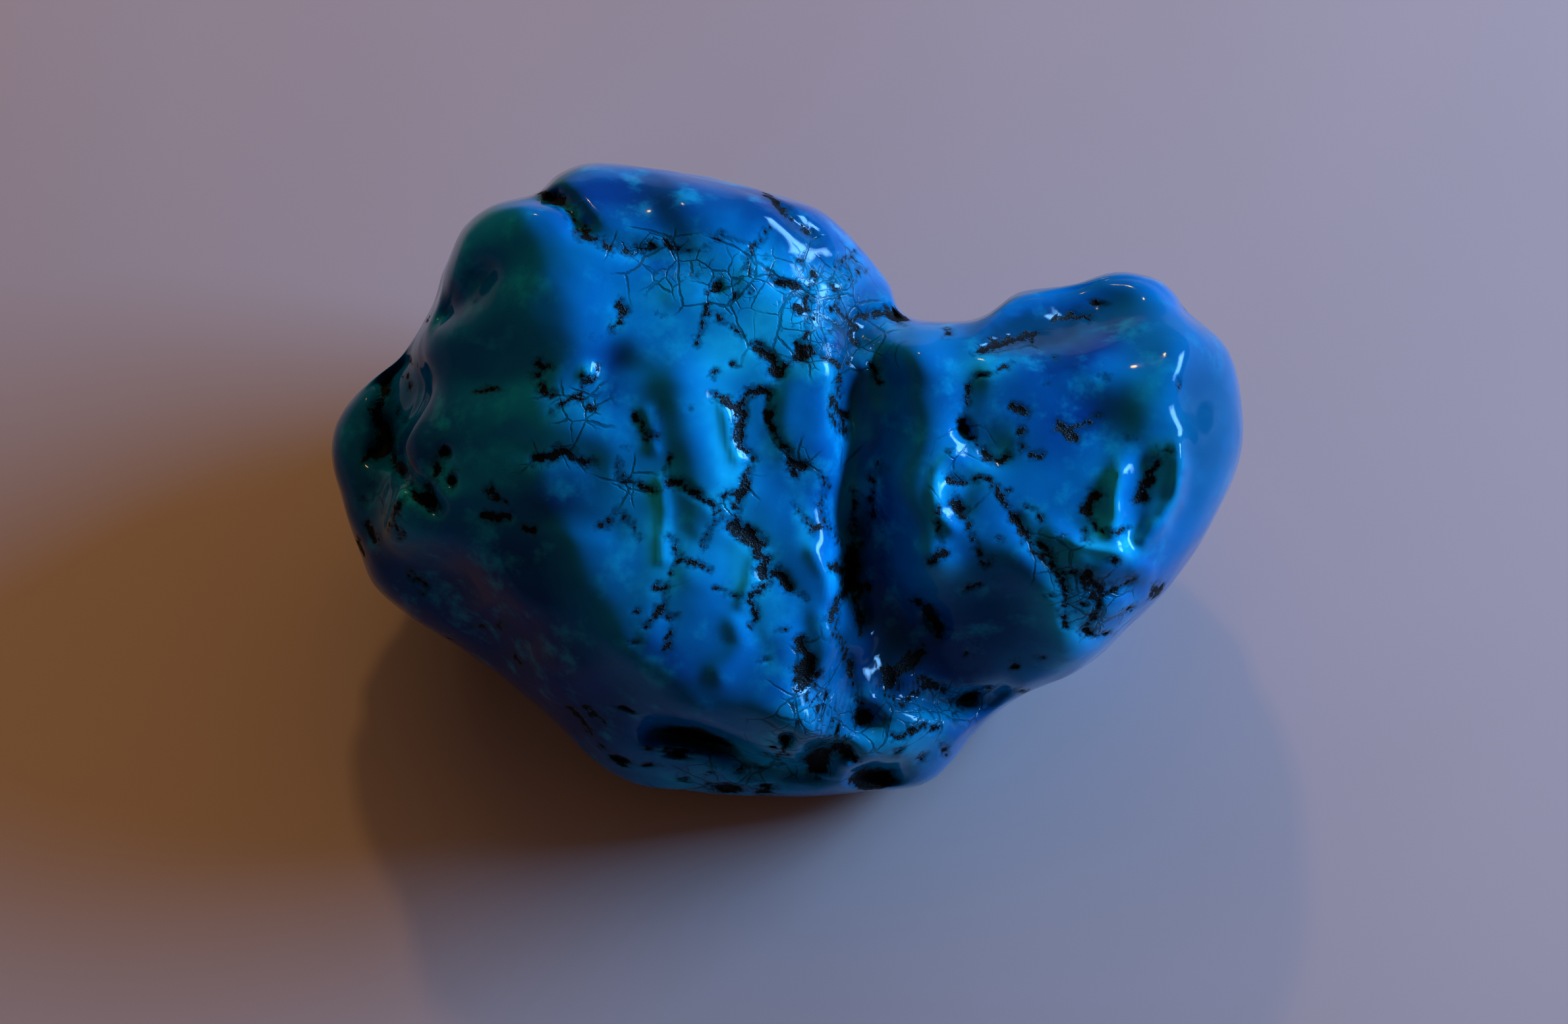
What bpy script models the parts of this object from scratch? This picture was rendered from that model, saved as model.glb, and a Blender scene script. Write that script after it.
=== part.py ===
"""Turquoise nugget: one polished lump of turquoise with rounded facets, resting on its flattest side.

The stone is worked out as one closed skin. A rounded wall follows the outline of its broad show face,
facets and lumps close it in front, sloping cuts close it underneath, and ridges, grooves, nodules and
hollows are then raised or sunk along the skin's own slope.

Two frames are used, both in millimetres until the last step:
  face frame (u, v, w): u to the right, v up the show face, w straight out of the show face
  stand frame (x, y, z): x = u, z up from the table; the show face looks up and forward, FACE_TILT above level
"""

import bpy
import numpy as np

# Driving dimensions, mm and degrees
FACE_TILT = 68.0
CONE_TIP = 372.0
LOWEST = -16.0
REST_SUNK = 1.1
REST_FADE = 4.0
REST_ROUNDING = 1.7
WALL_WIDEST = -4.0
WALL_LEAN = 0.20
WALL_BULGE_FRONT = 45.0
WALL_BULGE_BACK = 14.0
EDGE_ROUNDING = 1.3
JOIN_ROUNDING = 0.9
SKIN_ROUNDING = 1.0
FINEST_RELIEF = 0.45
FINE_CELLS = 84
TRIANGLES = 9600
MOST_REACH = 48.0

# Middle of the stone, in the face frame: each ray to the skin starts here
HEART = np.array([5.6, 1.0, -5.0])
# Ball that spreads the rays evenly over the skin: its middle and its half sizes
BALL_MIDDLE = np.array([0.0, 1.0, -4.0])
BALL_RADII = np.array([26.0, 18.0, 12.0])
BALL_LEAN = 0.3

# Outline of the show face (u, v), once round from the right-hand end
OUTLINE = [
    (30.0, 6.8), (29.5, 9.6), (28.5, 11.4), (26.4, 13.2), (25.6, 14.4), (24.2, 15.5), (22.0, 15.9),
    (19.0, 15.1), (15.4, 14.5), (13.8, 13.4), (12.2, 12.75), (9.0, 12.75), (7.6, 13.5), (6.9, 15.2),
    (5.3, 17.1), (2.6, 19.6), (-0.4, 20.8), (-5.0, 21.9), (-10.4, 22.8), (-13.0, 22.9), (-14.8, 22.2),
    (-16.4, 20.9), (-19.4, 20.1), (-21.2, 18.6), (-22.4, 16.2), (-23.3, 13.6), (-25.3, 11.0),
    (-27.5, 8.9), (-29.2, 6.8), (-30.0, 4.4), (-29.2, 1.0), (-28.0, -2.6), (-26.6, -5.4), (-22.6, -8.3),
    (-18.2, -11.4), (-14.3, -14.8), (-11.4, -17.8), (-7.8, -19.35), (-3.0, -19.1), (1.6, -19.0),
    (5.6, -18.4), (9.2, -18.2), (11.0, -16.6), (12.6, -14.4), (15.4, -12.2), (19.5, -10.4),
    (22.6, -7.8), (25.3, -5.2), (27.2, -2.4), (29.0, 1.0), (30.0, 4.2),
]

# Facets: a point (u, v, w), then the fall in w for each mm toward +u and toward +v
LEFT_LOBE = [
    (-2.0, 4.0, 9.6, 0.04, -0.03),  # plateau
    (-12.0, 13.0, 9.8, -0.22, 0.06),  # top of the boss
    (-4.0, 19.5, 7.6, 0.10, 0.95),  # crown
    (-21.5, 14.0, 5.6, -0.95, 0.15),  # shoulder of the boss
    (-24.6, 9.0, 0.0, -4.0, 0.6),  # cliff of the boss over the toe
    (-14.0, 0.0, 8.2, -0.42, -0.30),  # left slope
    (-16.0, -5.8, 5.6, -1.39, -1.60),  # long flank
    (-4.0, -13.4, 6.8, -0.20, -1.90),  # front
    (3.6, 2.0, 6.8, 0.95, 0.0),  # side of the cleft
    (4.8, 15.5, 4.6, 0.85, 0.45),  # back right shoulder
]
RIGHT_LOBE = [
    (16.5, 2.5, 7.6, 0.02, 0.02),  # top
    (7.0, 3.0, 6.4, -1.25, 0.0),  # side of the cleft
    (27.0, 6.0, 5.2, 1.35, 0.15),  # outer flank
    (18.0, 10.0, 6.3, 0.05, 1.10),  # back
    (15.5, -7.0, 4.3, -0.10, -0.85),  # lower facet
    (24.0, -3.5, 4.2, 0.75, -0.75),  # lower right shoulder
]
# Lumps: middle (u, v, w), half sizes, turn in degrees, squareness
LUMPS = [
    ((-24.5, 1.5, -6.5), (7.0, 9.5, 6.0), 12.0, 2.6),  # toe on the left
    ((20.5, 12.0, -3.0), (8.5, 4.6, 4.6), 12.0, 2.6),  # ledge behind the right lobe
    ((4.5, -13.6, -4.5), (8.8, 5.6, 6.0), 8.0, 2.6),  # sill below the cleft
    ((11.0, 10.5, -3.0), (6.0, 4.0, 5.4), 0.0, 2.4),  # root behind the cleft
]
# Cuts of the underside in the stand frame: bearing, lean below level, distance from the origin
UNDERCUTS = [
    (8, 40, 25.5), (58, 52, 22.5), (108, 42, 23.5), (152, 50, 25.0),
    (198, 38, 28.0), (246, 53, 21.0), (288, 40, 23.0), (332, 50, 23.0),
]

# Ridges and grooves: (height mm, half width mm, points along it in the sight plane)
STROKES = [
    # left lobe: creases round the boss and the crown
    (-1.0, 0.70, [(-16.6, 21.3), (-14.2, 20.3), (-13.2, 19.0)]),
    (-0.6, 0.60, [(-13.2, 18.6), (-11.2, 17.6), (-9.2, 17.0)]),
    (-0.5, 1.30, [(-9.0, 22.0), (-8.2, 19.5), (-7.2, 17.4)]),
    (0.5, 1.50, [(-6.0, 20.6), (-3.6, 19.9), (-1.4, 19.6)]),
    (-0.6, 0.50, [(-1.2, 20.6), (-0.5, 19.7), (1.0, 18.4), (1.8, 18.0)]),
    (0.6, 1.00, [(0.9, 18.0), (3.2, 17.2), (4.6, 15.4)]),
    (-0.8, 0.50, [(3.2, 15.9), (4.2, 15.9), (4.7, 16.9)]),
    (-0.5, 0.90, [(-9.5, 16.6), (-6.5, 16.6), (-3.6, 17.6), (-1.5, 17.2)]),
    (0.5, 0.90, [(-2.6, 14.2), (0.0, 13.3), (1.6, 12.5)]),
    (-1.0, 0.90, [(-22.6, 13.2), (-21.3, 13.6), (-20.2, 14.4), (-19.3, 15.8)]),
    (0.7, 1.60, [(-21.6, 16.0), (-20.0, 18.0), (-17.0, 19.2)]),
    (-0.6, 1.00, [(-19.8, 8.6), (-18.6, 8.2), (-17.0, 8.8)]),
    # toe and the cliff of the boss above it
    (-1.3, 0.80, [(-24.4, 12.2), (-25.9, 9.0), (-26.5, 7.0), (-26.8, 5.0), (-27.0, 4.0)]),
    (-0.9, 0.60, [(-26.0, 3.9), (-25.2, 2.6), (-23.8, 1.4), (-22.8, 0.5)]),
    (0.5, 0.90, [(-24.6, 8.0), (-24.6, 5.2), (-23.2, 3.2), (-21.6, 1.4)]),
    (-0.7, 0.60, [(-22.9, 3.0), (-22.2, 3.6), (-21.8, 2.2)]),
    # left slope: dark bands and the dip between them
    (-0.5, 0.90, [(-18.2, 4.9), (-16.0, 4.1), (-14.0, 3.9), (-12.8, 3.6)]),
    (-0.4, 0.90, [(-20.6, 0.4), (-18.6, -0.2), (-14.0, -0.2), (-11.6, -0.7)]),
    (0.7, 1.50, [(-16.0, 6.6), (-12.6, 5.6), (-10.4, 4.2)]),
    # plateau: its left ridge, the tongue, the slabs
    (0.5, 1.20, [(-9.5, 5.6), (-8.7, 3.0), (-8.2, 0.0), (-8.3, -3.0), (-9.2, -6.6), (-9.4, -9.4)]),
    (0.9, 1.10, [(-6.6, 8.0), (-5.0, 7.2), (-4.1, 5.6), (-3.7, 4.0), (-3.6, 2.4)]),
    (-0.9, 0.45, [(-2.7, 6.6), (-2.7, 5.1), (-2.5, 3.9), (-2.0, 3.2)]),
    (-0.5, 0.45, [(-7.5, 2.1), (-6.0, 1.6), (-4.6, 0.8)]),
    (-0.3, 0.50, [(-7.6, -1.2), (-6.9, -3.0), (-7.9, -4.9), (-7.6, -7.0), (-7.4, -9.0)]),
    (0.6, 1.00, [(-3.9, -0.6), (-2.9, -2.2), (-2.2, -4.4)]),
    (0.6, 1.10, [(-3.0, -7.6), (-2.6, -8.8), (-4.0, -10.6)]),
    (-0.6, 0.50, [(-2.2, -5.5), (-1.6, -7.4), (-1.6, -9.6)]),
    (-0.8, 0.60, [(-3.6, 0.0), (-2.6, -1.2), (-1.6, -2.3), (-0.6, -3.8), (0.4, -4.6)]),
    (0.7, 1.00, [(-2.4, 1.6), (-0.6, -0.6), (0.8, -2.2), (2.0, -4.4)]),
    (0.7, 0.70, [(2.0, -2.6), (3.0, -4.2), (3.2, -5.6)]),
    (-0.7, 0.50, [(0.6, 0.1), (1.6, -1.0), (2.6, -2.6), (3.6, -3.2)]),
    (-0.8, 0.50, [(-1.9, 11.0), (-0.9, 9.8), (-0.8, 8.2), (-0.9, 6.0), (-0.3, 4.5), (0.7, 3.4), (1.2, 3.0)]),
    (-0.7, 0.50, [(0.6, 11.4), (1.5, 10.8), (2.6, 10.2), (3.8, 9.2)]),
    # cleft
    (-1.0, 1.20, [(6.9, 12.4), (5.4, 11.4), (4.4, 9.8), (4.1, 7.6), (4.3, 5.0), (4.7, 2.0), (4.7, -1.0)]),
    (-1.0, 0.85, [(4.6, -1.0), (4.4, -3.0), (4.5, -5.0), (4.9, -6.8)]),
    (-0.6, 0.65, [(4.9, -6.8), (4.3, -8.6), (4.2, -10.4), (4.7, -12.4)]),
    (-0.5, 0.45, [(3.6, -6.0), (3.1, -7.0), (3.6, -8.4)]),
    (0.7, 0.90, [(2.6, -7.0), (3.1, -9.0), (3.5, -11.4)]),
    (-0.9, 0.80, [(1.4, -7.4), (1.6, -9.0), (1.5, -10.8), (2.7, -12.0)]),
    (-0.8, 0.60, [(6.5, 9.2), (7.0, 8.2), (6.8, 7.4)]),
    # right lobe
    (0.6, 1.80, [(8.4, 11.6), (9.5, 9.0), (9.5, 6.0), (9.1, 3.0), (8.9, 0.0), (9.2, -2.4)]),
    (-0.5, 0.90, [(11.8, 8.2), (11.6, 5.4), (12.6, 4.2), (14.0, 3.9)]),
    (-0.6, 0.70, [(10.9, 2.2), (12.0, 1.9), (11.6, 0.2)]),
    (-1.3, 0.90, [(12.4, 10.6), (14.3, 10.9), (16.2, 11.5), (18.4, 12.1), (20.4, 13.2), (22.4, 13.8)]),
    (0.5, 1.10, [(13.6, 9.5), (16.6, 10.0), (19.6, 10.7), (23.0, 12.2)]),
    (0.9, 1.20, [(26.9, 11.4), (25.8, 9.8), (25.0, 8.0), (24.8, 6.0)]),
    (-0.7, 0.80, [(25.9, 5.2), (24.3, 4.2), (23.3, 3.0)]),
    (0.6, 0.80, [(22.2, 3.0), (22.0, 1.0), (21.9, -1.0), (22.3, -2.4)]),
    (-0.7, 0.60, [(23.9, 3.0), (23.7, 1.2), (23.3, -0.8), (23.0, -1.6)]),
    (0.8, 0.80, [(17.9, -1.4), (19.6, -2.0), (21.4, -2.2)]),
    (-0.8, 0.70, [(15.0, -0.6), (16.3, -2.0), (17.6, -3.2), (18.3, -4.6), (19.2, -6.4), (20.3, -7.8)]),
    (-0.6, 0.60, [(18.0, -3.7), (19.8, -4.0), (20.0, -4.6), (22.4, -4.6)]),
    (0.6, 0.90, [(15.6, -3.0), (17.0, -4.6), (18.0, -6.6), (18.2, -8.6)]),
    # lip of the long flank, and the groove under it
    (0.6, 1.00, [(-9.5, -12.4), (-6.5, -13.0), (-3.6, -13.9), (-1.4, -15.3)]),
    (-1.4, 0.90, [(-8.6, -14.6), (-5.6, -15.4), (-2.4, -16.8), (0.4, -17.4)]),
    (-1.0, 0.80, [(6.5, -11.6), (9.5, -12.4), (12.4, -12.6), (14.6, -11.6)]),
    (0.7, 0.90, [(3.6, -18.4), (5.2, -16.2), (7.6, -15.4), (9.8, -13.8)]),
]
# Swellings: (u, v, half length, half width, turn degrees, height mm)
SWELLS = [
    (-15.2, 1.4, 3.4, 2.0, -4, -1.0),   # deep blue dip on the left slope
    (20.6, 6.2, 2.8, 2.4, 0, -1.1),     # dimple of the right lobe
    (13.6, 4.6, 1.6, 1.4, 0, -0.4),
    (-12.9, 9.1, 0.6, 0.55, 0, 0.5),
    (-11.3, 9.6, 1.6, 1.2, 20, -0.6),
    (-16.5, 14.0, 4.6, 3.4, 60, 0.5),
    (-6.0, -4.6, 2.2, 3.0, 0, 0.35),
    (14.0, -7.0, 3.2, 4.0, 20, 0.5),
    (9.6, -3.6, 1.7, 1.3, 0, 0.6),
    (4.9, -10.6, 1.0, 1.4, 0, 0.4),
    (20.9, -3.4, 1.5, 0.8, 0, 0.4),
    (-25.8, 0.6, 1.6, 1.2, -30, 0.5),
    (11.0, -14.6, 1.8, 1.1, 30, 0.5),
]
# Flat topped nodules: (u, v, half length, half width, turn degrees, height mm)
NODULES = [
    (1.55, 6.8, 2.05, 3.5, -8, 1.1),
    (24.9, 1.1, 1.55, 3.1, -8, 1.0),
    (20.9, -1.0, 0.9, 1.0, 0, 0.4),
    (-4.9, -0.7, 1.5, 1.2, -30, 0.35),
    (-5.4, -3.6, 1.5, 1.9, -15, 0.35),
    (-0.1, -7.0, 1.4, 1.9, 10, 0.35),
    (-8.7, -7.9, 0.75, 1.1, 0, 0.3),
    (5.5, 9.6, 0.8, 1.0, 20, 0.5),
    (5.2, 14.4, 1.3, 1.0, -50, 0.5),
    (2.9, 14.2, 1.2, 0.9, 20, 0.4),
    (0.6, 15.6, 1.3, 0.9, -20, 0.5),
    (-2.0, 15.6, 1.1, 0.9, 10, 0.4),
    (-6.8, 14.6, 1.2, 1.0, 40, 0.35),
    (4.2, -6.7, 0.55, 1.0, 0, 0.6),
    (4.9, -9.0, 0.7, 0.6, 0, 0.4),
    (19.2, -3.0, 0.9, 0.6, 0, 0.4),
    (21.6, -5.9, 0.9, 0.8, 0, 0.4),
    (23.2, -4.0, 0.8, 0.8, 0, 0.4),
]
# Hollows with a rim: (u, v, half length, half width, turn degrees, depth mm)
HOLLOWS = [
    (-6.3, -14.6, 2.4, 0.85, -20, 1.8),
    (-7.2, -16.3, 0.95, 0.35, -4, 0.6),
    (-10.6, -16.5, 0.75, 0.36, -22, 0.6),
    (-3.8, -18.2, 1.15, 0.34, -4, 0.6),
    (-1.3, -18.3, 0.7, 0.22, 10, 0.4),
    (2.3, -16.5, 1.7, 0.85, -52, 1.8),
    (3.7, -15.8, 1.2, 0.5, -20, 0.9),
    (5.5, -17.3, 1.6, 0.85, 0, 1.6),
    (5.1, -13.7, 1.1, 0.9, -15, 1.4),
    (11.9, -12.3, 0.95, 0.6, 24, 0.9),
    (8.0, -12.4, 0.36, 0.25, -30, 0.4),
    (8.2, -14.6, 0.3, 0.25, 0, 0.3),
    (9.6, -14.3, 0.55, 0.25, 20, 0.4),
    (0.5, -14.6, 0.45, 0.45, 0, 0.5),
    (2.6, -13.4, 0.4, 0.36, 0, 0.5),
    (-10.9, -13.0, 0.35, 0.2, 0, 0.3),
    (1.4, -7.5, 0.42, 0.42, 0, 0.6),
    (1.5, -9.0, 0.75, 0.28, -68, 0.6),
    (1.4, -10.6, 0.75, 0.4, -60, 0.7),
    (2.8, -12.0, 0.5, 0.4, 0, 0.7),
    (-0.9, -9.8, 0.25, 0.2, 0, 0.3),
    (4.3, -3.6, 1.2, 0.6, -80, 0.6),
    (5.2, -4.9, 0.5, 0.36, -20, 0.6),
    (9.9, -7.3, 0.75, 0.7, -60, 0.7),
    (10.1, -3.2, 0.5, 0.25, 30, 0.4),
    (12.3, -5.2, 0.45, 0.2, 20, 0.3),
    (11.6, 5.3, 0.65, 0.5, -50, 0.8),
    (13.4, 3.7, 0.75, 0.36, 5, 0.7),
    (18.6, 5.3, 0.55, 0.4, -60, 0.6),
    (19.8, 5.7, 0.45, 0.22, 20, 0.4),
    (15.6, 6.9, 0.65, 0.22, -28, 0.4),
    (15.8, 5.3, 0.7, 0.13, -85, 0.3),
    (11.1, 2.0, 0.55, 0.3, -10, 0.5),
    (11.6, 0.1, 0.6, 0.28, -60, 0.5),
    (15.3, -0.9, 0.9, 0.35, -58, 0.7),
    (17.1, -2.3, 0.55, 0.22, -50, 0.4),
    (20.4, 0.8, 0.75, 0.3, -65, 0.6),
    (20.0, -1.3, 0.32, 0.25, -70, 0.4),
    (23.7, 1.5, 0.75, 0.26, 80, 0.6),
    (22.7, -0.9, 0.35, 0.28, 0, 0.5),
    (18.3, -4.5, 0.7, 0.32, -60, 0.6),
    (18.9, -3.8, 0.5, 0.22, 0, 0.4),
    (20.1, -7.6, 0.5, 0.35, -30, 0.5),
    (21.2, -8.0, 0.4, 0.2, 10, 0.3),
    (24.6, -5.1, 0.7, 0.25, 40, 0.5),
    (12.6, 8.9, 0.4, 0.2, 15, 0.4),
    (14.3, 9.5, 0.5, 0.18, 20, 0.3),
    (13.5, 10.7, 1.0, 0.25, 12, 0.5),
    (15.4, 11.3, 0.9, 0.25, 8, 0.5),
    (7.0, 8.9, 0.5, 0.22, 80, 0.5),
    (7.6, 8.1, 0.42, 0.25, 0, 0.5),
    (6.8, 7.5, 0.35, 0.36, 0, 0.5),
    (6.5, 3.1, 0.3, 0.2, 0, 0.3),
    (7.2, 12.9, 0.95, 0.3, 0, 0.8),
    (-3.2, -0.8, 1.1, 0.36, -38, 0.7),
    (-1.6, -2.2, 0.5, 0.25, -70, 0.5),
    (-1.0, -4.0, 0.75, 0.3, -10, 0.6),
    (0.2, -4.5, 0.6, 0.35, -40, 0.6),
    (-2.0, -5.5, 0.3, 0.2, -20, 0.3),
    (1.2, 3.0, 0.5, 0.36, 0, 0.6),
    (-0.9, 9.8, 0.6, 0.25, -70, 0.5),
    (-26.9, 5.3, 1.5, 0.55, 82, 1.0),
    (-27.3, 6.8, 0.55, 0.35, 10, 0.7),
    (-25.6, 3.2, 0.6, 0.3, -50, 0.6),
    (-23.9, 0.8, 0.7, 0.4, -10, 0.7),
    (-23.3, 1.5, 0.5, 0.28, 80, 0.5),
    (-22.4, 3.9, 0.38, 0.34, 0, 0.5),
    (-21.8, 2.3, 0.55, 0.42, 80, 0.6),
    (-22.7, 2.8, 0.3, 0.4, 0, 0.4),
    (-27.2, -1.3, 0.5, 0.25, -60, 0.4),
    (-25.4, -1.5, 0.4, 0.12, -50, 0.2),
    (-22.1, -8.4, 0.4, 0.3, -30, 0.4),
    (-16.2, 9.3, 0.4, 0.3, 0, 0.4),
    (-15.7, 8.0, 0.55, 0.2, -40, 0.4),
    (-14.3, 4.0, 0.7, 0.36, -10, 0.5),
    (-13.0, 18.5, 0.45, 0.22, -50, 0.4),
    (-4.8, 15.0, 0.45, 0.4, 0, 0.4),
    (-10.5, 13.1, 0.4, 0.22, -60, 0.4),
    (-11.0, 11.9, 0.4, 0.2, 50, 0.3),
    (4.3, 16.3, 0.5, 0.25, 60, 0.4),
]


# Lumps and dents of the sides that the show face hides: middle (u, v, w), radius, height
BACK_SWELLS = [
    ((-14.0, 20.0, -9.0), 6.0, 1.4),
    ((-4.0, 22.0, -4.0), 3.6, -0.9),
    ((2.0, 19.0, -12.0), 6.5, 1.2),
    ((8.0, 12.0, -9.0), 5.0, -1.2),
    ((17.0, 14.0, -11.0), 5.0, 1.3),
    ((24.0, 12.0, -9.0), 4.0, -0.9),
    ((28.0, 4.0, -9.0), 5.0, 1.1),
    ((24.0, -5.0, -10.0), 4.5, -1.0),
    ((15.0, -11.0, -13.0), 5.0, 1.1),
    ((6.0, -17.0, -13.0), 4.0, -0.9),
    ((-4.0, -18.0, -12.0), 5.0, 1.2),
    ((-14.0, -13.0, -11.0), 4.5, -0.8),
    ((-22.0, -8.0, -10.0), 5.0, 1.2),
    ((-28.0, 2.0, -12.0), 4.5, -0.9),
    ((-24.0, 12.0, -12.0), 5.5, 1.3),
    ((-19.0, 17.0, -3.0), 3.0, -0.7),
]
# Finer waviness of the hidden sides: wave length, height, the way each wave runs, and its shift
BACK_WAVES = [
    (10.5, 0.24, (0.3, -0.5, 0.8), 4.0),
    (8.5, 0.20, (0.7, 0.4, -0.6), 2.1),
    (6.8, 0.16, (-0.6, 0.3, 0.7), 1.2),
    (5.2, 0.12, (-0.2, 0.7, 0.7), 5.3),
    (4.2, 0.08, (0.7, -0.5, 0.5), 3.3),
]

RISE = np.sin(np.radians(FACE_TILT))
LEAN = np.cos(np.radians(FACE_TILT))


def closed_curve(points, per_span=12):
    """Closed smooth curve through the points: each span is the Catmull-Rom cubic of its four neighbours."""
    points = np.array(points)
    p0, p1, p2, p3 = (np.roll(points, shift, axis=0)[:, None] for shift in (1, 0, -1, -2))
    t = (np.arange(per_span) / per_span)[None, :, None]
    straight = 2 * p1 + (p2 - p0) * t
    bent = (2 * p0 - 5 * p1 + 4 * p2 - p3) * t**2 + (3 * p1 - p0 - 3 * p2 + p3) * t**3
    return (0.5 * (straight + bent)).reshape(-1, 2)


ROUND_HEART = closed_curve(OUTLINE) - HEART[:2]
BEARINGS = np.arctan2(ROUND_HEART[:, 1], ROUND_HEART[:, 0])
REACHES = np.hypot(ROUND_HEART[:, 0], ROUND_HEART[:, 1])[np.argsort(BEARINGS)]
BEARINGS = np.sort(BEARINGS)


def drawn_in(points):
    """(u, v) of points on the show face's plane, along lines that meet at the tip of the cone."""
    return points[:, :2] * (CONE_TIP / (CONE_TIP - points[:, 2]))[:, None]


def highest_of(fields, rounding):
    """Soft maximum: the highest field, rounded where two of them meet."""
    fields = np.stack(fields)
    top = fields.max(axis=0)
    return top + rounding * np.log(np.exp((fields - top) / rounding).sum(axis=0))


def lowest_of(fields, rounding):
    """Soft minimum: the lowest field, rounded where two of them meet."""
    return -highest_of([-field for field in fields], rounding)


def wall(points):
    """Height outside the wall: reach from the heart less the outline's reach, drawn in along a parabola."""
    across = drawn_in(points) - HEART[:2]
    bearing = np.arctan2(across[:, 1], across[:, 0])
    reach = np.interp(bearing, BEARINGS, REACHES, period=2 * np.pi)
    off_widest = points[:, 2] - WALL_WIDEST - WALL_LEAN * points[:, 1]
    bulge = np.where(off_widest > 0, WALL_BULGE_FRONT, WALL_BULGE_BACK)
    return 0.9 * (np.hypot(across[:, 0], across[:, 1]) - reach + off_widest**2 / (2 * bulge))


def facets(points, planes):
    """Height above the facets: each is a plane, and their lowest part is kept with rounded edges."""
    heights = []
    for u, v, w, fall_u, fall_v in planes:
        plane = w - fall_u * (points[:, 0] - u) - fall_v * (points[:, 1] - v)
        heights.append((points[:, 2] - plane) / np.sqrt(1 + fall_u**2 + fall_v**2))
    return highest_of(heights, EDGE_ROUNDING)


def lump(points, middle, radii, turn, squareness):
    """Height outside a squarish ellipsoid that is turned about the w axis."""
    off = points - np.array(middle)
    angle = np.radians(turn)
    along = off[:, 0] * np.cos(angle) + off[:, 1] * np.sin(angle)
    beside = off[:, 1] * np.cos(angle) - off[:, 0] * np.sin(angle)
    parts = np.abs(np.stack([along, beside, off[:, 2]]) / np.array(radii)[:, None])
    return ((parts**squareness).sum(axis=0) ** (1 / squareness) - 1) * min(radii)


def underside(points):
    """Height outside the flat rest and the sloping cuts round it."""
    stand = to_stand(points)
    heights = [LOWEST - REST_SUNK - stand[:, 2]]
    for bearing, lean, distance in UNDERCUTS:
        around, down = np.radians(bearing), np.radians(lean)
        outward = stand[:, 0] * np.cos(around) + stand[:, 1] * np.sin(around)
        heights.append(outward * np.cos(down) - stand[:, 2] * np.sin(down) - distance)
    return highest_of(heights, REST_ROUNDING)


def stone(points):
    """Height outside the whole stone: wall, front and underside, with the two lobes and the lumps joined."""
    parts = [facets(points, LEFT_LOBE), facets(points, RIGHT_LOBE)]
    parts += [lump(points, *one) for one in LUMPS]
    return highest_of([wall(points), lowest_of(parts, JOIN_ROUNDING), underside(points)], SKIN_ROUNDING)


def to_stand(points):
    """Turns points of the face frame about the x axis into the stand frame."""
    y = RISE * points[:, 1] - LEAN * points[:, 2]
    z = LEAN * points[:, 1] + RISE * points[:, 2]
    return np.stack([points[:, 0], y, z], axis=1)


def slope(points, reach=0.8):
    """Unit vectors straight out of the skin: the field's rise over a short way along each axis."""
    rise = np.stack([stone(points + reach * axis) - stone(points - reach * axis) for axis in np.eye(3)], axis=1)
    return rise / np.linalg.norm(rise, axis=1, keepdims=True)


def cube_ball(cells):
    """Unit vectors and quads of a cube's six faces in equal angles, joined along the cube's edges."""
    ruler = np.tan(np.linspace(-np.pi / 4, np.pi / 4, cells + 1))
    a, b = np.meshgrid(ruler, ruler, indexing="ij")
    one = np.ones_like(a)
    sides = [(one, a, b), (-one, b, a), (b, one, a), (a, -one, b), (a, b, one), (b, a, -one)]
    corners = np.concatenate([np.stack(side, axis=-1).reshape(-1, 3) for side in sides])
    start = np.arange(cells * (cells + 1)).reshape(cells, cells + 1)[:, :cells].reshape(-1)
    quad = np.stack([start, start + cells + 1, start + cells + 2, start + 1], axis=1)
    quads = np.concatenate([quad + side * (cells + 1) ** 2 for side in range(6)])
    _, first, same = np.unique(np.round(corners, 6), axis=0, return_index=True, return_inverse=True)
    corners = corners[first]
    return corners / np.linalg.norm(corners, axis=1, keepdims=True), same.reshape(-1)[quads]


def cast(ways, steps=60, halvings=20):
    """Where each ray from the heart leaves the stone: steps in from outside, then halves the last step."""
    reach = np.full(len(ways), MOST_REACH)
    step = MOST_REACH / steps
    live = np.arange(len(ways))
    while len(live):
        outside = stone(HEART + ways[live] * reach[live][:, None]) > 0
        live = live[outside]
        reach[live] -= step
    low, high = reach, reach + step
    for _ in range(halvings):
        middle = (low + high) / 2
        inside = stone(HEART + ways * middle[:, None]) < 0
        low, high = np.where(inside, middle, low), np.where(inside, high, middle)
    return HEART + ways * low[:, None]


def to_path(path, u, v):
    """Distance to a bent line: the least distance to any of its straight parts."""
    nearest = np.full(len(u), 1e9)
    for (u0, v0), (u1, v1) in zip(path[:-1], path[1:]):
        run_u, run_v = u1 - u0, v1 - v0
        part = ((u - u0) * run_u + (v - v0) * run_v) / (run_u**2 + run_v**2)
        part = np.clip(part, 0, 1)
        nearest = np.minimum(nearest, np.hypot(u - u0 - part * run_u, v - v0 - part * run_v))
    return nearest


def in_oval(u, v, middle_u, middle_v, length, width, turn):
    """How far out in an oval each point is: 0 at its middle, 1 on its rim."""
    angle = np.radians(turn)
    off_u, off_v = u - middle_u, v - middle_v
    along = off_u * np.cos(angle) + off_v * np.sin(angle)
    beside = off_v * np.cos(angle) - off_u * np.sin(angle)
    return np.hypot(along / length, beside / width)


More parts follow.
